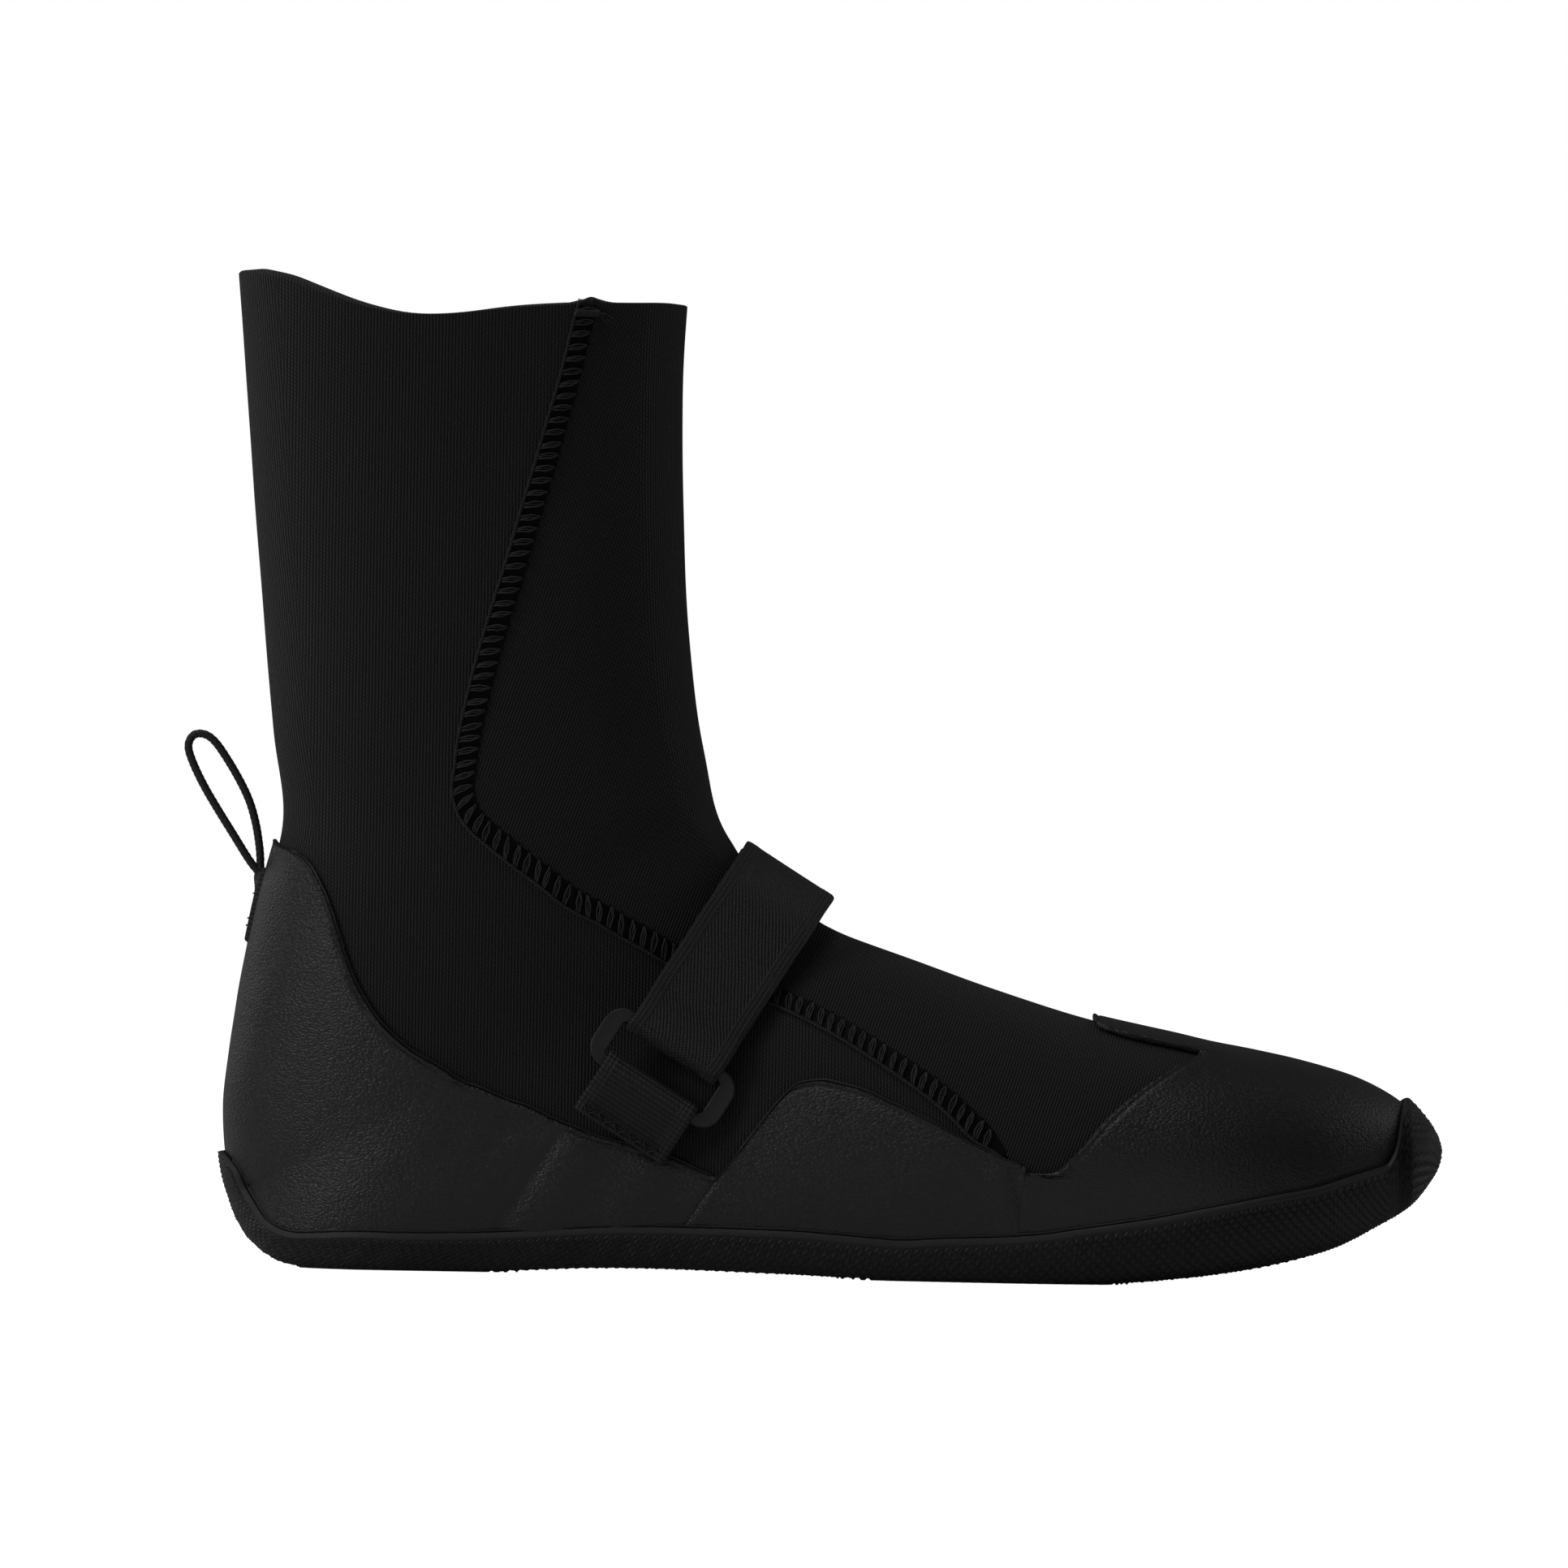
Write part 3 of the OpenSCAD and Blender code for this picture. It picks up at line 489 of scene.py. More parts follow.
def grained(name, base, cell, rough_low, rough_high, depth, coat=0.0):
    """Synthetic skin with a fine wrinkled grain."""
    m = Shader(name, base, 0.5, Specular_IOR_Level=0.5, Coat_Weight=coat, Coat_Roughness=0.35)
    p = m.place()
    swirl = m.node("TexNoise", out=1, Vector=p, Scale=700.0, Detail=2.0)
    reach = (0.0007, 0.0007, 0.0004)
    warp = m.node("VectorMath", props={"operation": "MULTIPLY_ADD"}, i0=swirl, i1=reach, i2=p)
    long = m.node("VectorMath", props={"operation": "MULTIPLY"}, i0=warp, i1=(0.62, 0.8, 1.0))
    smooth = {"feature": "SMOOTH_F1"}
    cells = m.node("TexVoronoi", props=smooth, Vector=long, Scale=1 / (cell * MM), Smoothness=0.3)
    fine = m.noise(2600, 3, 0.6)
    patches = m.noise(45, 3, 0.6)
    height = m.math("SUBTRACT", m.mul(fine, 0.3), cells)
    shade = m.math("ADD", m.mad(cells, -0.6, 0.55), m.mul(patches, 0.5))
    m.colour(shade, 0.5, 1.8)
    m.rough(m.mad(fine, 0.5, m.mul(patches, 0.5)), rough_low, rough_high)
    m.bump(height, depth * MM)
    return m.mat


def rubber(name, base, pitch=0.0, gloss=0.38):
    """Rubber, with small pyramids all over it if a pitch is given."""
    m = Shader(name, base, 0.5, Specular_IOR_Level=0.5)
    dust = m.noise(60, 4, 0.65)
    fine = m.noise(3000, 3, 0.6)
    shade = m.mad(fine, 0.4, m.mul(dust, 0.6))
    height = m.mul(fine, 0.1)
    if pitch:
        x, y = m.split(m.mm())[:2]
        sides = []
        for op in ("ADD", "SUBTRACT"):
            cell = m.math("FRACT", m.mul(m.math(op, y, x), 1 / pitch))
            sides.append(m.math("ABSOLUTE", m.mad(cell, 2.0, -1.0)))
        stud = m.math("MINIMUM", *sides)
        bare = m.node("MapRange", Value=x, From_Min=1.4, From_Max=1.9)
        stud = m.mul(stud, bare)
        height = m.mad(stud, 1.0, height)
        shade = m.mad(stud, 0.7, m.mul(shade, 0.4))
    m.colour(shade, 0.35, 2.1)
    m.rough(dust, gloss, 0.6)
    m.bump(height, 0.0013 if pitch else 0.00006)
    return m.mat


def webbing(name, base, width, pitch, coarse=False):
    """Woven tape: twill dashes or beaded ribs between two finely ribbed selvedges, with painted highlights on the
    weave's crests and painted shade in its gaps.
    """
    m = Shader(name, base, 0.6, Specular_IOR_Level=0.45)
    x, y = m.split(m.mm())[:2]
    ribs = m.wave(y, pitch)
    beads = m.wave(m.mad(m.math("FLOOR", m.mul(y, 1 / pitch)), 0.55, x), 1.15)
    if coarse:
        body = m.mul(m.math("POWER", ribs, 1.2), m.mad(beads, 0.35, 0.7))
    else:
        a = m.wave(m.mad(y, 0.55, x), pitch)
        b = m.wave(m.mad(y, -1.8, x), pitch * 1.3)
        body = m.mul(m.math("POWER", a, 1.3), m.mad(b, 0.75, 0.25))
    edge = m.node("MapRange", Value=m.math("ABSOLUTE", x), From_Min=width / 2 - 3.7, From_Max=width / 2 - 3.3)
    fine = m.wave(y, pitch if coarse else 0.62)
    side = m.mad(m.wave(x, 1.1), 0.3, m.mul(fine, 0.7))
    mixed = m.node("Mix", props={"data_type": "FLOAT"}, Factor=edge, A=body, B=side)
    fibre = m.noise(3600, 3, 0.65)
    height = m.mad(fibre, 0.25, mixed)
    # The colour follows the weave's height, from near black in the gaps to four times the base on the crests: a real
    # weave pattern with painted shade and painted highlights.
    m.colour(m.mad(fibre, 0.35, m.mul(mixed, 0.75)), 0.04, 4.0)
    m.rough(fibre, 0.38, 0.7)
    m.bump(height, 0.0006)
    return m.mat


def thread(name, base, shine=0.45):
    m = Shader(name, base, 0.5, Specular_IOR_Level=shine)
    fibre = m.noise(2600, 3, 0.6)
    m.colour(fibre, 0.5, 1.8)
    m.bump(fibre, 0.00012)
    m.rough(fibre, 0.45, 0.7)
    return m.mat


def pile(name, base):
    m = Shader(name, base, 0.9, Sheen_Weight=0.4)
    fuzz = m.noise(1500, 4, 0.7)
    m.colour(fuzz, 0.4, 2.0)
    m.bump(fuzz, 0.0005)
    m.rough(fuzz, 0.8, 1.0)
    return m.mat


def plastic(name, base):
    m = Shader(name, base, 0.42, Specular_IOR_Level=0.5)
    fine = m.noise(1800, 4, 0.6)
    scuff = m.noise(90, 5, 0.7)
    m.colour(scuff, 0.75, 1.35)
    m.rough(scuff, 0.34, 0.55)
    m.bump(fine, 0.00004)
    return m.mat


LEG = jersey("neoprene_leg", 0.0135, 0.78, 0.0, 0.1)
FRONT = jersey("neoprene_front", 0.0135, 0.75, 0.35, 0.05)
LINING = jersey("neoprene_lining", 0.01, 1.0, 0.0, 0.06)
OVERLAY = grained("overlay", 0.0115, 0.5, 0.34, 0.5, 0.2)
CAP = grained("toe_cap", 0.009, 0.48, 0.33, 0.46, 0.16, coat=0.1)
RUBBER = rubber("outsole", 0.016, pitch=STUD_PITCH)
# Glossy near-black rubber for the cement line: the bead is real, and its near-black colour is painted shade along
# the edges.
CEMENT_AND_SHADE = rubber("cement_and_shade", 0.002, gloss=0.25)
TAPE = webbing("webbing", 0.0105, 25, 0.95)
BASE_TAPE = webbing("base_webbing", 0.0085, 25, 1.2, coarse=True)
THREAD = thread("thread", 0.02)
DARK_THREAD = thread("dark_thread", 0.014)
# Near-black material for painted shade in the flatlock seams: the dark gaps under the threads and the shadows at the
# bundles' ends.
SEAM_SHADE = thread("seam_shade", 0.003, shine=0.08)
CORD = thread("cord", 0.011)
PILE = pile("hook_and_loop", 0.008)
RING = plastic("ring", 0.011)


# ---------------------------------------------------------------- neoprene panels


def panel_rows(from_s, to_s, gap):
    """Stations spaced about gap mm apart along the boot."""
    s = np.linspace(from_s, to_s, 1200)
    d = lengths(skin(s, 1.0, LATERAL), 0)
    return np.interp(np.arange(0, d[-1], gap).tolist() + [d[-1]], d, s)


def folds(p):
    """Soft undulation of the worn neoprene: broad all over, and creases at the bend of the ankle."""
    bend = np.exp(-((p[..., 0] + 72) / 22) ** 2 - ((p[..., 2] - 104) / 18) ** 2)
    lines = np.sin((p[..., 2] * 0.75 - p[..., 0] * 0.55) / 3.4 + 0.4 * noise(p, 60, 5))
    return 0.35 * noise(p, 70, 1) + 0.14 * noise(p, 22, 2) + 0.32 * bend * lines


def rim_wave(p, s):
    """The cut rim wavers a little, and sags where the seams end, with a small peak behind each."""
    near_seam = p[..., 0] + BALL - 90
    sag = -1.7 * np.exp(-(near_seam / 22) ** 2) + 1.3 * np.exp(-((near_seam + 4) / 2.2) ** 2)
    waver = 0.35 * noise(p * [1, 1, 0], 34, 8) + 0.12 * noise(p * [1, 1, 0], 9, 9)
    return np.maximum(0, 1 - s / 0.25) * waver + np.maximum(0, 1 - s / 0.6) * sag


def panel_points(s, q, side, depth, edge_mm):
    """Outer or inner face of a neoprene panel, with rounded cut edges."""
    round_in = 0.55 * (1 - ramp(s, 0.0, 0.035))
    off = round_in - depth
    if depth == 0:
        off = folds(skin(s, q, side)) * ramp(edge_mm, 0, 6) - round_in
    p = skin(s, q, side, off)
    p[..., 2] += rim_wave(p, s)
    return p


def panel(name, build, mat, node, slot, halves=False):
    outer, uv = build(0)
    inner, _ = build(NEOPRENE)
    make_slab(name, outer, inner, uv, [node], slot, mat, halves=halves, merge=True)


def rear_panel():
    rows = np.concatenate([RIM_ROWS, panel_rows(0.06, 20.5, 1.5)])
    s = rows[:, None]
    q0 = flatlock_at(s) + SEAM_GAP
    q = q0 + (np.where(s <= FLAT_FROM, 2, 1.96) - q0) * np.linspace(0, 1, 56) ** 0.9

    def build(depth):
        grids, uvs = [], []
        for side in (MEDIAL, LATERAL):
            edge = lengths(skin(s, q, side), 1)
            grids.append(panel_points(s, q, side, depth, edge))
            along = np.broadcast_to(lengths(skin(rows, 2.0, side), 0)[:, None], edge.shape)
            uvs.append(np.stack([side * (edge[:, -1:] - edge), along], -1))
        return round_back(*grids), round_back(*uvs)

    panel("neoprene_rear", build, LEG, "rear_panel", "neoprene_leg", halves=True)


def front_panel():
    rows = np.concatenate([RIM_ROWS, panel_rows(0.06, 20.5, 1.5)])
    k = np.linspace(-1, 1, 91)
    side = np.where(k < 0, LATERAL, MEDIAL)
    s = rows[:, None]
    q = (flatlock_at(s) - SEAM_GAP) * np.abs(k)

    def build(depth):
        d = lengths(skin(s, q, side), 1)
        middle = d[:, len(k) // 2][:, None]
        edge = np.minimum(d, d[:, -1:] - d)
        along = np.broadcast_to(lengths(skin(rows, 0.0, MEDIAL), 0)[:, None], d.shape)
        return panel_points(s, q, side, depth, edge), np.stack([d - middle, along], -1)

    panel("neoprene_front", build, FRONT, "front_panel", "neoprene_front")


def bottom_panel():
    rows = panel_rows(FLAT_FROM + 0.3, 20.5, 4)
    k = np.linspace(-1, 1, 25)

    def build(depth):
        p = skin(rows[:, None], 3 - 0.96 * np.abs(k), np.where(k < 0, MEDIAL, LATERAL), -depth)
        return p, p[..., :2]

    panel("neoprene_bottom", build, LINING, "bottom_panel", "neoprene_bottom")


# ---------------------------------------------------------------- overlays


def near(p, a, b):
    """Signed distance across and position along a line on the side of the boot, between (x, z) points."""
    a, b = np.array(a, float), np.array(b, float)
    d = (b - a) / np.linalg.norm(b - a)
    v = p[..., [0, 2]] + [BALL, 0] - a
    return v[..., 0] * d[1] - v[..., 1] * d[0], (v @ d) / np.linalg.norm(b - a)


def crease(p, a, b, width, depth, sides=(LATERAL, MEDIAL)):
    across, along = near(p, a, b)
    fade = ramp(along, -0.1, 0.12) * (1 - ramp(along, 0.85, 1.1))
    on = sum(((p[..., 1] > 0) == (s > 0)).astype(float) for s in sides)
    return depth * np.exp(-(across / width) ** 2) * fade * on


def overlay_relief(p):
    """Bulge over the tucked webbing, creases, and the soft dents of glued material."""
    total = 0.16 * noise(p, 30, 11) + 0.07 * noise(p, 9, 12)
    for a, b, width, depth in (((86, 33), (76, 8), 7, 0.9), ((104, 28), (94, 8), 6, 0.5),
            ((82.7, 34.7), (66.1, 7.8), 1.6, -0.5), ((74, 33), (60, 16), 3.0, 0.35)):
        total += crease(p, a, b, width, depth, (LATERAL,))
    for a, b, width, depth in (((189.5, 30), (194.2, 6), 1.3, -0.45), ((185.5, 30), (189.5, 6), 2.6, 0.35),
            ((119.5, 24), (108.4, 7), 0.8, -0.35)):
        total += crease(p, a, b, width, depth)
    return total


def lip(d, thick):
    """Thickness of an overlay at a distance from its cut edge: a rounded edge, a bead and a groove."""
    bead = 0.2 * np.exp(-((d - 0.55) / 0.32) ** 2)
    groove = 0.3 * np.exp(-((d - 1.35) / 0.38) ** 2)
    return thick * (0.4 + 0.6 * ramp(d, -0.1, 0.4)) + bead - groove


def overlay(name, s, q, side, edge_mm, mat, node, **options):
    base = skin(s, q, side, OVER_IN)
    thick = lip(edge_mm, OVER_OUT - OVER_IN)
    relief = overlay_relief(base) * ramp(edge_mm, 0, 4)
    outer = skin(s, q, side, OVER_IN + np.maximum(0.2, thick + relief))
    uv = np.stack([lengths(base, 1), lengths(base, 0)], -1)
    make_slab(name, outer, base, uv, [node], "overlay", mat, **options)


def spaced(n, fine, power=1.7):
    """0 to 1 with steps that start small."""
    t = np.linspace(0, 1, n)
    return t * fine + (1 - fine) * t ** power


def heel_overlay():
    rows = panel_rows(5.252, 13.317, 0.8)
    rows = np.concatenate([[5.252, 5.27, 5.3], rows[rows > 5.33]])
    s = rows[:, None]
    q0 = heel_at(s)
    q = q0 + (np.where(s <= FLAT_FROM, 2, WRAP) - q0) * spaced(80, 0.35)
    edges = []
    for side in (MEDIAL, LATERAL):
        p = skin(s, q, side)
        edges.append(np.minimum(lengths(p, 1), lengths(p, 0) + 0.2))
    sides = np.repeat([MEDIAL, LATERAL], q.shape[1])
    overlay("overlay_heel", s, round_back(q, q), sides, round_back(*edges), OVERLAY, "heel_overlay",
        halves=True, merge=True)


def mid_overlay(name, side, node):
    """The side overlay, from the slanted seam at the heel overlay to the toe cap's rear edge."""
    rows = np.concatenate([np.linspace(MID_FROM, 13.7, 46), panel_rows(13.7, MID_TO, 0.9)[1:]])[:, None]
    q0 = mid_at(rows)
    q = q0 + (WRAP - q0) * spaced(70, 0.35)
    reach = np.where(q < 0.955, 15.54, cap_at(q) - 0.002)
    s = MID_FROM + (rows - MID_FROM) * (reach - MID_FROM) / (MID_TO - MID_FROM)
    if side == LATERAL:
        s, q = s[:, ::-1], q[:, ::-1]
    d = lengths(skin(s, q, side), 1)
    overlay(name, s, q, side, d if side == MEDIAL else d[:, -1:] - d, OVERLAY, node)


def toe_cap():
    places = np.concatenate([np.linspace(*span) for span in ((0, 0.17, 14), (0.18, 0.27, 19), (0.29, 0.9, 34),
        (0.91, 0.97, 19), (0.99, 2.2, 48))])
    places = np.concatenate([-places[:0:-1], places])
    q, side = np.abs(places), np.where(places < 0, LATERAL, MEDIAL)
    start = cap_at(q)
    s = start + (20.5 - start) * spaced(110, 0.3, 1.5)[:, None]
    p = skin(s, q, side)
    edge = np.min(np.linalg.norm(p[:, :, None] - p[0][None, None, ::2], axis=-1), axis=2)
    edge = np.maximum(edge, 3 * ramp(q, 0.955, 0.965))
    overlay("overlay_toe_cap", s, q, side, edge, CAP, "toe_cap")


# ---------------------------------------------------------------- outsole


def pyramids(u, v, pitch):
    """Height 0 to 1 of a lattice of square pyramids."""
    a = np.abs(((u + v) / pitch) % 1 - 0.5) * 2
    b = np.abs(((u - v) / pitch) % 1 - 0.5) * 2
    return np.minimum(a, b)


def outsole():
    rows = np.unique(np.concatenate([np.linspace(8.46, 8.8, 26), panel_rows(8.8, 19.4, 0.4),
        np.linspace(19.4, 20.4, 60), np.linspace(20.4, TIP - 0.02, 34)]))
    k = np.concatenate([np.linspace(0, 0.995, 56), 1 + np.linspace(0, 1, 26)[1:] ** 1.3])
    s = rows[:, None] * np.ones(len(k))
    q0 = rand_at(rows)[:, None]
    q = q0 + (2.0 - q0) * np.minimum(k, 1) + np.where(s > FLAT_FROM, np.maximum(k - 1, 0), 0)
    down = np.clip((q - q0) / (2.01 - q0), 0, 1)
    share = np.clip((s - 9) / 1.2, 0, 1) * np.clip((TIP - 0.6 - s) / 2, 0, 1)
    thick = SOLE_IN + RAND - 0.35 + (SOLE - RAND) * down ** 2 * share
    outs, ins, uvs = [], [], []
    for side in (MEDIAL, LATERAL):
        base = skin(s, q, side, SOLE_IN)
        d = lengths(base, 1)
        edge = np.minimum(np.where(q0 <= 0.001, 30, d), 30)
        along = np.broadcast_to(lengths(skin(rows, 1.9, side, 2.0), 0)[:, None], d.shape)
        bottom = np.linalg.norm(skin(s, 2.0, side, SOLE_IN) - base, axis=-1) * (q > 2)
        studs = 0.45 * pyramids(along, d, STUD_PITCH) * ramp(edge, 1.5, 2.1) * (1 - ramp(bottom, 5.0, 8.0))
        edge_shape = -RAND * 0.5 * (1 - ramp(edge, 0, 0.6)) - 0.25 * np.exp(-((edge - 1.4) / 0.3) ** 2)
        p = skin(s, q, side, thick + studs + edge_shape + 0.1 * noise(base, 40, 21))
        tread = ramp(pyramids(p[..., 0], p[..., 1], TREAD_PITCH), 0.25, 0.45) * ramp(q, 2.03, 2.1)
        p[..., 2] = np.where(p[..., 2] < 0.4, TREAD * (1 - tread) * (q > 2.03), p[..., 2])
        outs.append(p)
        ins.append(base)
        uvs.append(np.stack([d, along], -1))
    make_slab("outsole_rubber", round_back(*outs), round_back(*ins), round_back(*uvs), ["outsole"], "outsole",
        RUBBER, halves=True, merge=True, sharp=38)


def cement_lines():
    """The thin glossy line of cement along the edges of the overlays and the rand; its near-black colour also paints
    the shade in the groove along those edges.
    """
    low, high = OVER_IN + 0.3, OVER_OUT + 0.15
    edges = ((heel_at, 5.4, 13.29, 240, low), (mid_at, 13.34, MID_TO, 130, low),
        (rand_at, 8.6, 19.35, 420, high))
    paths = []
    for side in (MEDIAL, LATERAL):
        for edge_at, from_s, to_s, count, off in edges:
            s = np.linspace(from_s, to_s, count)
            p = skin(s, edge_at(s) - 0.004, side, off)
            paths.append(p + 0.05 * noise(p, 2.2, 31)[:, None])
        q = np.linspace(0.26, 0.94, 90)
        paths.append(skin(cap_at(q), q, side, low))
    make_tubes("cement_line", paths, 0.3, (), "overlay", CEMENT_AND_SHADE)


# ---------------------------------------------------------------- seams and stitches


def seam_frame(side, from_s, to_s, gap):
    """Points along a flatlock seam, gap mm apart, with the directions along, across and out."""
    s = np.linspace(from_s, to_s, 3000)
    d = lengths(skin(s, flatlock_at(s), side), 0)
    s = np.interp(np.arange(0, d[-1], gap), d, s)
    p = skin(s, flatlock_at(s), side)
    n = normal(s, flatlock_at(s), np.full(s.shape, side))
    t = unit(np.gradient(p, axis=0))
    x = unit(np.cross(n, t))
    return p, t, -x if side == MEDIAL else x, n


def flatlock(name, side, node):
    """Slanted bundles of twisted threads across the seam, with looped threads along one edge."""
    gap = 0.1
    p, _, x, n = seam_frame(side, 0.05, 15.38, gap)
    count = len(p)
    total = (count - 1) * gap

    def at(v, a, h):
        i = np.clip(np.round(np.asarray(v) / gap).astype(int), 0, count - 1)
        a, h = np.broadcast_arrays(np.asarray(a, float), np.asarray(h, float))
        return p[i] + x[i] * a[..., None] + n[i] * h[..., None]

    def narrow(v):
        return 1 - 0.65 * ramp(np.asarray(v, float), total - 9, total)

    paths, dark = [], []
    u = np.linspace(-1, 1, 13)
    for i in range(int((total - 4) / BUNDLE_PITCH)):
        v0 = 3.4 + i * BUNDLE_PITCH + 0.14 * rng.normal()
        lean = 1.0 + 0.15 * rng.normal()
        for j in (-1, 0, 1):
            fan = 0.56 * j * (1 - 0.6 * ramp(u, 0.25, 1.0) - 0.25 * ramp(-u, 0.5, 1.0))
            a = u * 2.45 + 0.12 * rng.normal()
            v = v0 - u * lean + fan + 0.08 * np.sin(u * 5 + j)
            h = 0.1 + (0.76 + 0.12 * rng.normal()) * (1 - np.abs(u) ** 3.2) + 0.12 * (j % 2)
            paths.append(at(v, a * narrow(v0), h))
        # Short dark tubes at the front end of each bundle: painted shadows at the bundle's rounded end.
        e = np.linspace(0, 1, 5)
        dark.append(at(v0 - 1.7 + 0.35 * e, (1.5 + 1.35 * e) * narrow(v0), 0.26 - 0.16 * e))
    v = np.arange(1.6, total - 0.4, 0.2)
    turn = v * 2 * math.pi / BUNDLE_PITCH
    for shift in (0.0, math.pi):
        a = (-2.7 + 0.26 * np.sin(2 * turn + shift)) * narrow(v)
        paths.append(at(v, a, 0.36 + 0.2 * np.cos(2 * turn + shift)))
    make_tubes(name, paths, 0.19, [node], "thread", THREAD)
    # The dark tubes at the bundles' ends are painted shadows in near-black material.
    make_tubes(name + "_end_shadows", dark, 0.27, (), "thread", SEAM_SHADE, sides=8)
    # A near-black sheet just above the skin under the threads: painted shade in the gaps between the bundles.
    rows = np.arange(26, count - 6, 12)
    a = (np.linspace(-2.6, 2.6, 7) * narrow(rows * gap)[:, None])[..., None]
    out = n[rows][:, None]
    grid = p[rows][:, None] + x[rows][:, None] * a + out * (0.02 + 0.12 * (1 - (a / 2.9) ** 2))
    uv = np.stack([lengths(grid, 1), lengths(grid, 0)], -1)
    make_slab(name + "_bed", grid, grid - out * 0.3, uv, (), "thread", SEAM_SHADE)


def bar_tack(name, side, node):
    """Zigzag of thread that locks the seam at the cuff, with the thread's loose tail."""
    p, t, x, n = [v[21] for v in seam_frame(side, 0.05, 0.8, 0.2)]
    up = np.array([0.0, 0, 1])
    paths = []
    u = np.linspace(-1, 1, 7)[:, None]
    for i, a in enumerate(np.arange(-3.2, 3.25, 0.34)):
        centre = p + x * a + up * 0.28 * a
        paths.append(centre - t * (u + 0.15 * (i % 2)) + x * 0.1 * u + n * (0.75 + 0.45 * (1 - u ** 2)))
    u = np.linspace(0, 1, 14)[:, None]
    for lift in (0.0, 0.5, 0.9):
        rise = 0.9 - lift + 0.5 * np.sin(u * 3.2 + 2 * lift)
        paths.append(p + x * (3.0 + (4.2 - 1.4 * lift) * u) + up * rise + n * (0.9 - 0.35 * u + 0.3 * np.sin(u * 3)))
    make_tubes(name, paths, 0.2, [node], "thread", DARK_THREAD)


# ---------------------------------------------------------------- strap and ring

ANGLE = math.radians(58)
CENTRE = np.array([108.8 - BALL, 53.5])
STRAP_GAP = 1.1
WEB = 1.0
PATCH = 0.4
FOLD_IN = math.hypot(1.5, 1.0) + 0.2
FOLD_OUT = FOLD_IN + WEB
BAR_HEIGHT = STRAP_GAP + FOLD_OUT
WIDTH = 25.0
FREE_END = 112.0
RING_PITCH = 12.2
RING_BAR = 3.0
BAR_AT = 1.2


def to_strap(p):
    dx, dz = p[..., 0] - CENTRE[0], p[..., 2] - CENTRE[1]
    return np.stack([-p[..., 1], dx * math.cos(ANGLE) + dz * math.sin(ANGLE),
        dx * math.sin(ANGLE) - dz * math.cos(ANGLE)], -1)


def from_strap(u, v, m):
    u, v, m = np.broadcast_arrays(np.asarray(u, float), v, m)
    return np.stack([CENTRE[0] + v * math.cos(ANGLE) + m * math.sin(ANGLE), -u,
        CENTRE[1] + v * math.sin(ANGLE) - m * math.cos(ANGLE)], -1)


def radius_table():
    s, q = np.arange(5.6, 15.41, 0.2), np.arange(0, 1.741, 0.06)
    s, q, side = np.meshgrid(s, q, [LATERAL, MEDIAL], indexing="ij")
    p = to_strap(skin(s, q, side)).reshape(-1, 3)
    p = p[np.abs(p[:, 2]) <= WIDTH / 2 + 1]
    angle = (np.degrees(np.arctan2(p[:, 1], p[:, 0])) + 450) % 360 - 90
    radius = np.hypot(p[:, 0], p[:, 1])
    stops = np.arange(-48, 233, 4)
    raw = np.array([radius[np.abs(angle - a) < 4.5].max() for a in stops])
    prev, nxt = np.concatenate([raw[:1], raw[:-1]]), np.concatenate([raw[1:], raw[-1:]])
    return stops, np.maximum(raw - 0.15, (prev + 2 * raw + nxt) / 4)


STOPS, RADII = radius_table()
STOPS_FINE = np.arange(-48, 228.1, 1.0)
SPREAD = np.exp(-(np.arange(-8, 9) / 4.5) ** 2)
RADII_FINE = np.pad(np.interp(STOPS_FINE, STOPS, RADII), 8, "edge")
RADII_FINE = np.convolve(RADII_FINE, SPREAD / SPREAD.sum(), "valid")


def at_angle(a, off):
    """Points (u, v) at an angle around the strap's plane, off mm above the skin."""
    r = np.interp(a, STOPS_FINE, RADII_FINE) + off
    a = np.radians(a)
    return np.stack([r * np.cos(a), r * np.sin(a)], -1)


def angle_at_v(v):
    return math.degrees(math.atan2(v, np.interp(0, STOPS, RADII) + BAR_HEIGHT))


UPPER = at_angle(angle_at_v(BAR_AT), BAR_HEIGHT)
LOW_GUESS = at_angle(angle_at_v(BAR_AT - RING_PITCH), BAR_HEIGHT)
DIR = unit(UPPER - LOW_GUESS)
LOWER = UPPER - DIR * RING_PITCH
OUT = np.array([DIR[1], -DIR[0]])
TILT = math.degrees(math.atan2(DIR[1], DIR[0]))


def edge_limit(side):
    s = np.arange(10, 13.31, 0.1)
    p = to_strap(skin(s, heel_at(s), side))
    return p[np.abs(p[:, 2]) <= WIDTH / 2 + 1][:, 1].max()


STRAP_START = angle_at_v(BAR_AT + 4.2)
STRAP_END = 180 - math.degrees(math.atan2(edge_limit(MEDIAL) + 0.6, np.interp(180, STOPS, RADII)))
PILE_LOW = STRAP_GAP + WEB + 0.05
HOOK_LOW = PILE_LOW + PATCH + 0.3
TOP_LOW = HOOK_LOW + PATCH + 0.05
BASE_END = math.degrees(math.atan2(edge_limit(LATERAL) + 0.6, np.interp(0, STOPS, RADII)))
BASE_START = angle_at_v(LOWER[1])
BASE_MEET = (BASE_END + BASE_START) / 2 - 3


def smooth_path(points, gap, rounds=3):
    """A path of (u, v) points resampled every gap mm after rounding its corners."""
    p = np.asarray(points, float)
    for _ in range(rounds):
        a, b = p[:-1] * 0.75 + p[1:] * 0.25, p[:-1] * 0.25 + p[1:] * 0.75
        p = np.concatenate([p[:1], np.stack([a, b], 1).reshape(-1, 2), p[-1:]])
    d = lengths(p, 0)
    at = np.linspace(0, d[-1], max(3, int(d[-1] / gap)))
    return np.stack([np.interp(at, d, p[:, 0]), np.interp(at, d, p[:, 1])], -1)


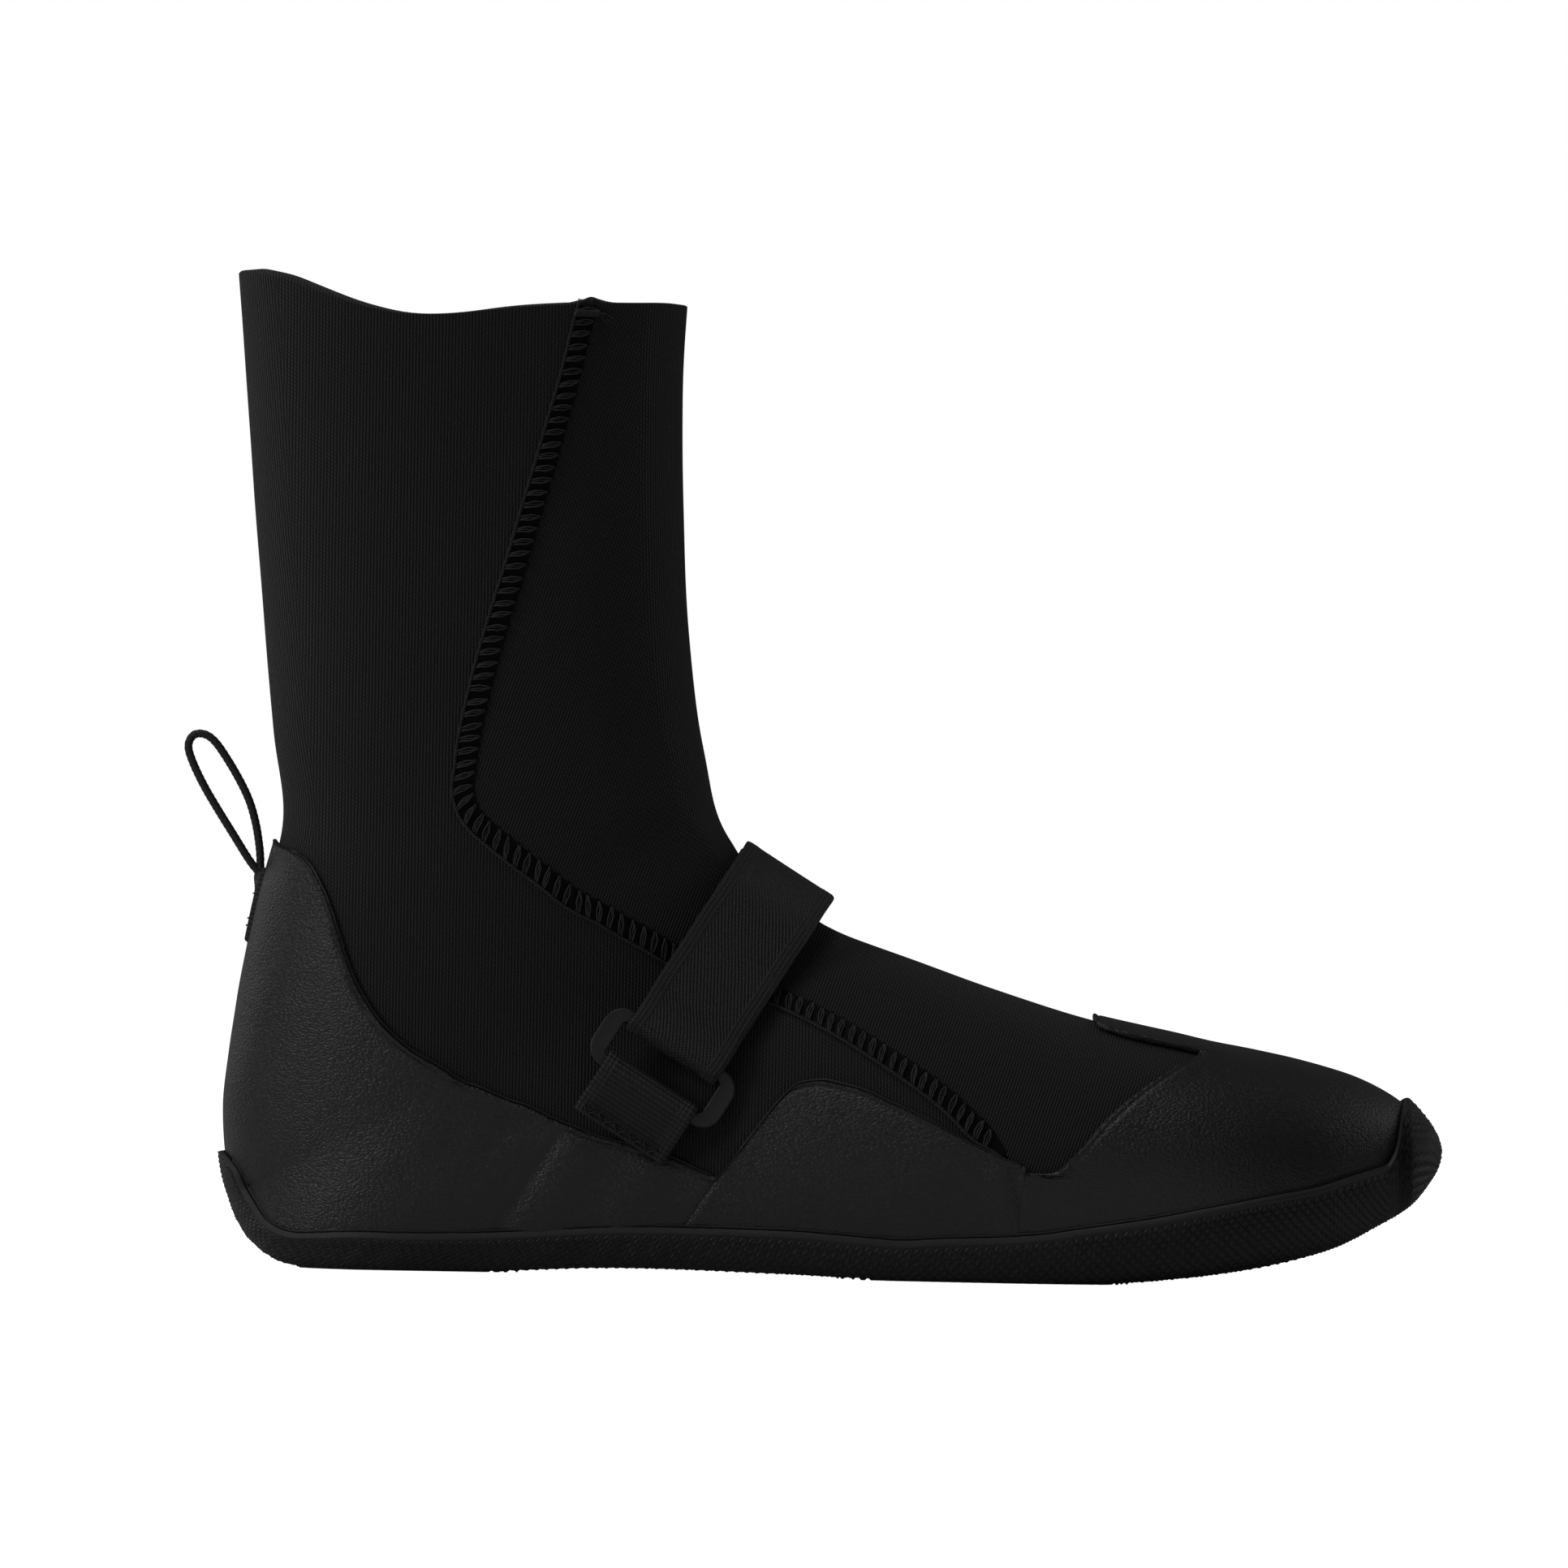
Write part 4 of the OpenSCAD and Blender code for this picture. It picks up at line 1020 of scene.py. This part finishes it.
def tape(name, path, node, width=WIDTH, thick=WEB, body="boot", mat=TAPE, slot="webbing", wave=0.0):
    """A woven tape whose middle line follows a path in the strap's plane, with thicker selvedges."""
    n = len(path)
    t = unit(np.gradient(path, axis=0))
    side = np.stack([t[:, 1], -t[:, 0]], -1)[:, None]
    m = np.concatenate([[-1, -0.995, -0.975], np.linspace(-0.93, 0.93, 41), [0.975, 0.995, 1]]) * width / 2
    edge = width / 2 - np.abs(m)
    body_t = thick / 2 * (0.84 + 0.16 * (1 - ramp(edge, 3.2, 3.8)))
    half = np.where(edge < 0.7, body_t * np.sqrt(np.clip(edge / 0.7, 0.0, 1)), body_t)
    half = half + 0.045 * np.sin(m * 2 * math.pi / 1.15) * (edge < 3.4)
    d = lengths(path, 0)[:, None]
    lift = wave * np.sin(d / 9 + m * 0.12 + 3)
    across = m + 0.12 * np.sin(d / 13 + 3) + 0.07 * np.sin(d / 3.1)
    top = path[:, None] + side * (half + lift)[..., None]
    low = path[:, None] - side * (half - lift)[..., None]
    outer = from_strap(top[..., 0], top[..., 1], across)
    inner = from_strap(low[..., 0], low[..., 1], across)
    uv = np.stack([np.broadcast_to(m, (n, len(m))), np.broadcast_to(d, (n, len(m)))], -1)
    return make_slab(name, outer, inner, uv, [node], slot, mat, body)


def arc(centre, radius, a, b, count=24):
    t = np.radians(np.linspace(a, b, count))
    return centre + radius * np.stack([np.cos(t), np.sin(t)], -1)


def strap():
    mid = (FOLD_IN + FOLD_OUT) / 2
    under_off = STRAP_GAP + WEB / 2
    split = STRAP_START + 12
    under = at_angle(np.append(np.arange(STRAP_END, split, -2), split), under_off)
    tape("strap_under_layer", smooth_path(under, 0.9), "strap_under")
    inner_top = UPPER - OUT * mid + DIR * 3.4
    near_part = np.concatenate([at_angle(np.arange(split + 1, STRAP_START, -2), under_off), [inner_top],
        [UPPER - OUT * mid + DIR * 1.2]])
    wrap_round = arc(UPPER, mid, TILT + 90, TILT + 268)
    path = np.concatenate([smooth_path(near_part, 0.5, 2), smooth_path(wrap_round, 0.3, 1)[1:]])
    fold = tape("strap_fold_layer", path, "strap_fold", body=None)
    start = from_strap(*at_angle(split, under_off), 0) * MM
    end = from_strap(*inner_top, 0) * MM
    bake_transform(fold)

    peel = UPPER + OUT * mid
    top_path = np.concatenate([[peel - DIR * 0.05, peel + DIR * 0.2, peel + OUT * 0.25 + DIR * 4],
        at_angle(np.arange(16, FREE_END + 0.1, 2), TOP_LOW + WEB / 2)])
    top = tape("strap_top_layer", smooth_path(top_path, 0.5), "strap_top", body=None, wave=0.05)
    from_strap(*peel, 0) * MM
    from_strap(*(peel + DIR * 2.5), 0) * MM
    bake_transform(top)
    path = smooth_path(at_angle(np.arange(26, FREE_END + 20.5, 2), PILE_LOW + PATCH / 2), 1.2)
    tape("loop_pile", path, "loop_patch", WIDTH - 2, PATCH, "boot", PILE, "hook_and_loop")
    path = smooth_path(at_angle(np.arange(34, FREE_END - 2.5, 2), HOOK_LOW + PATCH / 2), 1.2)
    tape("hook_tape", path, "hook_patch", WIDTH - 3, PATCH, "strap", PILE, "hook_and_loop")


def base_webbing():
    """Webbing folded round the ring's lower bar, its two plies sewn together above the heel overlay."""
    mid = (FOLD_IN + FOLD_OUT) / 2
    half_way = (BASE_END + BASE_MEET) / 2
    low = at_angle(np.array([BASE_END, half_way, BASE_MEET, BASE_START - 4]), STRAP_GAP + WEB / 2)
    high = at_angle(np.array([BASE_MEET, half_way, BASE_END]), STRAP_GAP + WEB * 1.5)
    path = np.concatenate([low, [LOWER - OUT * mid - DIR * 1.5], arc(LOWER, mid, TILT + 90, TILT - 90),
        [LOWER + OUT * mid - DIR * 1.5], high])
    tape("base_webbing_fold", smooth_path(path, 0.4, 2), "base_webbing", mat=BASE_TAPE)


def stitch_rows(name, node, rows, low):
    """Rows of lockstitches across a tape, zigzagging between each pair of rows."""
    paths = []
    for a0, a1 in rows:
        m = np.arange(-WIDTH / 2 + 2.2, WIDTH / 2 - 2, 2.1)
        for i, c in enumerate(m):
            for a in (a0, a1):
                u = np.linspace(-1, 1, 7)
                p = at_angle(np.full(7, a), low + 0.16 * (1 - u ** 2))
                paths.append(from_strap(p[:, 0], p[:, 1], c + u * 0.9))
            u = np.linspace(0, 1, 7)
            lean = 1 if i % 2 else -1
            p = at_angle(a0 + (a1 - a0) * u, low + 0.1 + 0.12 * (1 - (2 * u - 1) ** 2))
            paths.append(from_strap(p[:, 0], p[:, 1], c + lean * (u - 0.5) * 2.0))
    make_tubes(name, paths, 0.21, [node], "thread", DARK_THREAD)


def rounded_outline(x, y, r, count=9):
    pts = []
    for k, (sx, sy) in enumerate(((1, 1), (-1, 1), (-1, -1), (1, -1))):
        t = np.radians(np.linspace(0, 90, count) + 90 * k)
        pts.append(np.stack([sx * (x / 2 - r) + r * np.cos(t), sy * (y / 2 - r) + r * np.sin(t)], -1))
    p = np.concatenate(pts)
    out = []
    for i in range(len(p)):
        a, b = p[i], p[(i + 1) % len(p)]
        out += [a, (a * 2 + b) / 3, (a + b * 2) / 3] if np.linalg.norm(b - a) > 2 else [a]
    return np.array(out)


def ring():
    """Moulded ring: a rounded rectangle with wide ends and all its edges softened."""
    long, tall = WIDTH + 2 + 9, RING_PITCH + RING_BAR
    slot_x, slot_y = RING_PITCH - RING_BAR, WIDTH + 2
    steps = [(0.0, 0.0), (0.0, 0.55), (0.08, 0.8), (0.25, 0.95), (0.5, 1.0)]
    loops = [(rounded_outline(tall - 2 * i, long - 2 * i, 5 - i), h) for i, h in steps]
    loops += [(rounded_outline(slot_x + 2 * i, slot_y + 2 * i, 1 + i), h) for i, h in steps[::-1]]
    loops += [(loop, -h) for loop, h in loops[::-1] if h > 0]
    centre = (UPPER + LOWER) / 2
    verts = []
    for loop, h in loops:
        uv = centre + loop[:, :1] * DIR + h * OUT
        verts.append(from_strap(uv[:, 0], uv[:, 1], loop[:, 1]))
    faces = tube_faces(len(loops), len(verts[0]), joined=True)
    make("ring_moulding", np.concatenate(verts), faces, "ring", None, ["ring"], "ring", RING, sharp=35)


# ---------------------------------------------------------------- pull loop

ROOT = skin(5.66, 2.0, LATERAL)
LOOP_ROUTE = [(-2.6, 0.6), (-5, 3.6), (-9, 9.8), (-12.6, 15.4), (-16, 21), (-18.8, 26.6), (-20, 30.6),
    (-18.9, 33.2), (-16.4, 33.6), (-13.8, 32), (-10.8, 28), (-7.4, 22.4), (-5, 17.4), (-3.4, 12),
    (-2.5, 6.8), (-2.2, 3.6)]
LOOP_TAIL = [[-0.02, 0, -1.0], [0.1, 0, -2.2], [0.3, 0, -3.4]]
BRAID_PITCH = 2.6


def loop_path():
    """The pull loop's route, smoothed through its points."""
    p = np.array([(ROOT[0] + x, 0.0, ROOT[2] + z) for x, z in LOOP_ROUTE])
    u = np.linspace(0, 1, 24, endpoint=False)[:, None]
    last = len(p) - 1
    parts = [spline(p[max(0, i - 1)], p[i], p[i + 1], p[min(last, i + 2)], u) for i in range(last)]
    return np.concatenate(parts + [p[-1:], p[-1] + LOOP_TAIL])


def pull_loop():
    """Braided cord: the tube's wall swells where the strands cross over."""
    path = loop_path()
    d = lengths(path, 0)
    at = np.linspace(0, d[-1], int(d[-1] / 0.2))
    p = np.stack([np.interp(at, d, path[:, i]) for i in range(3)], -1)
    y = np.array([0.0, 1.0, 0.0])
    x = np.cross(unit(np.gradient(p, axis=0)), y)
    sides = 24
    a = np.arange(sides) * 2 * math.pi / sides
    twist = at[:, None] * 2 * math.pi / BRAID_PITCH
    one, two = a * 3 + twist, a * 3 - twist
    on_top = np.sin((one + two) / 2) > 0
    braid = np.where(on_top, np.abs(np.sin(one)) ** 0.7, np.abs(np.sin(two)) ** 0.7)
    r = 0.84 + 0.16 * braid
    verts = p[:, None] + r[..., None] * (np.cos(a)[None, :, None] * x[:, None] + np.sin(a)[None, :, None] * y)
    obj = make("pull_loop_cord", verts, tube_faces(len(p), sides), "pull_loop", None, ["pull_loop"], "cord",
        CORD, sharp=0)


def pull_tab():
    """Tab of ribbed tape on the centre back, sewn over the cord's ends."""
    rows = np.linspace(5.6, 6.4, 44)
    y = np.concatenate([[-4, -3.96, -3.8], np.linspace(-3.5, 3.5, 21), [3.8, 3.96, 4]])
    base = skin(rows, 2.0, LATERAL, OVER_OUT - 0.3)
    n = normal(rows, np.full(rows.shape, 1.99), np.full(rows.shape, LATERAL))
    n[:, 1] = 0
    n = unit(n)
    d = lengths(base, 0)[:, None]
    edge = np.minimum(4 - np.abs(y), np.minimum(d, d[-1] - d))
    hump = 1.3 * np.exp(-(y / 1.3) ** 2) * np.exp(-((d - 2.2) / 2.6) ** 2)
    thick = 1.15 * np.sqrt(np.clip(edge / 0.6, 0.02, 1)) + hump
    across, along = np.broadcast_to(y, thick.shape), np.broadcast_to(d, thick.shape)
    low = base[:, None] + np.stack([across ** 2 / 72, across, 0 * thick], -1)
    top = low + n[:, None] * thick[..., None]
    make_slab("pull_tab_tape", top, low, np.stack([across, along], -1), ["pull_tab"], "webbing", BASE_TAPE)
    paths = []
    for row in (5.5, 7.0, 13.0, 15.0):
        i = int(np.clip(row / d[-1, 0] * 43, 0, 43))
        for c in np.arange(-2.6, 2.7, 1.3):
            u = np.linspace(-1, 1, 6)
            p = base[i] + n[i] * (1.2 + 0.16 * (1 - u[:, None] ** 2))
            p[:, 1] = c + u * 0.55
            p[:, 0] += c * c / 72
            paths.append(p)
    make_tubes("pull_tab_stitches", paths, 0.2, ["tab_stitching"], "thread", DARK_THREAD)


camera()
studio()
floor()
pull_loop()
rear_panel()
front_panel()
bottom_panel()
heel_overlay()
mid_overlay("overlay_lateral", LATERAL, "lateral_overlay")
mid_overlay("overlay_medial", MEDIAL, "medial_overlay")
toe_cap()
outsole()
cement_lines()
flatlock("flatlock_lateral_threads", LATERAL, "flatlock_lateral")
flatlock("flatlock_medial_threads", MEDIAL, "flatlock_medial")
bar_tack("bar_tack_lateral_threads", LATERAL, "bar_tack_lateral")
bar_tack("bar_tack_medial_threads", MEDIAL, "bar_tack_medial")
base_webbing()
stitch_rows("base_stitches", "base_stitching",
    [(BASE_END * 0.8 + BASE_MEET * 0.2, BASE_END * 0.3 + BASE_MEET * 0.7)], STRAP_GAP + 2 * WEB + 0.02)
stitch_rows("anchor_stitches", "anchor_stitching",
    [(STRAP_END - 5, STRAP_END - 9), (STRAP_END - 14, STRAP_END - 18)], STRAP_GAP + WEB + 0.02)
ring()
strap()
pull_tab()
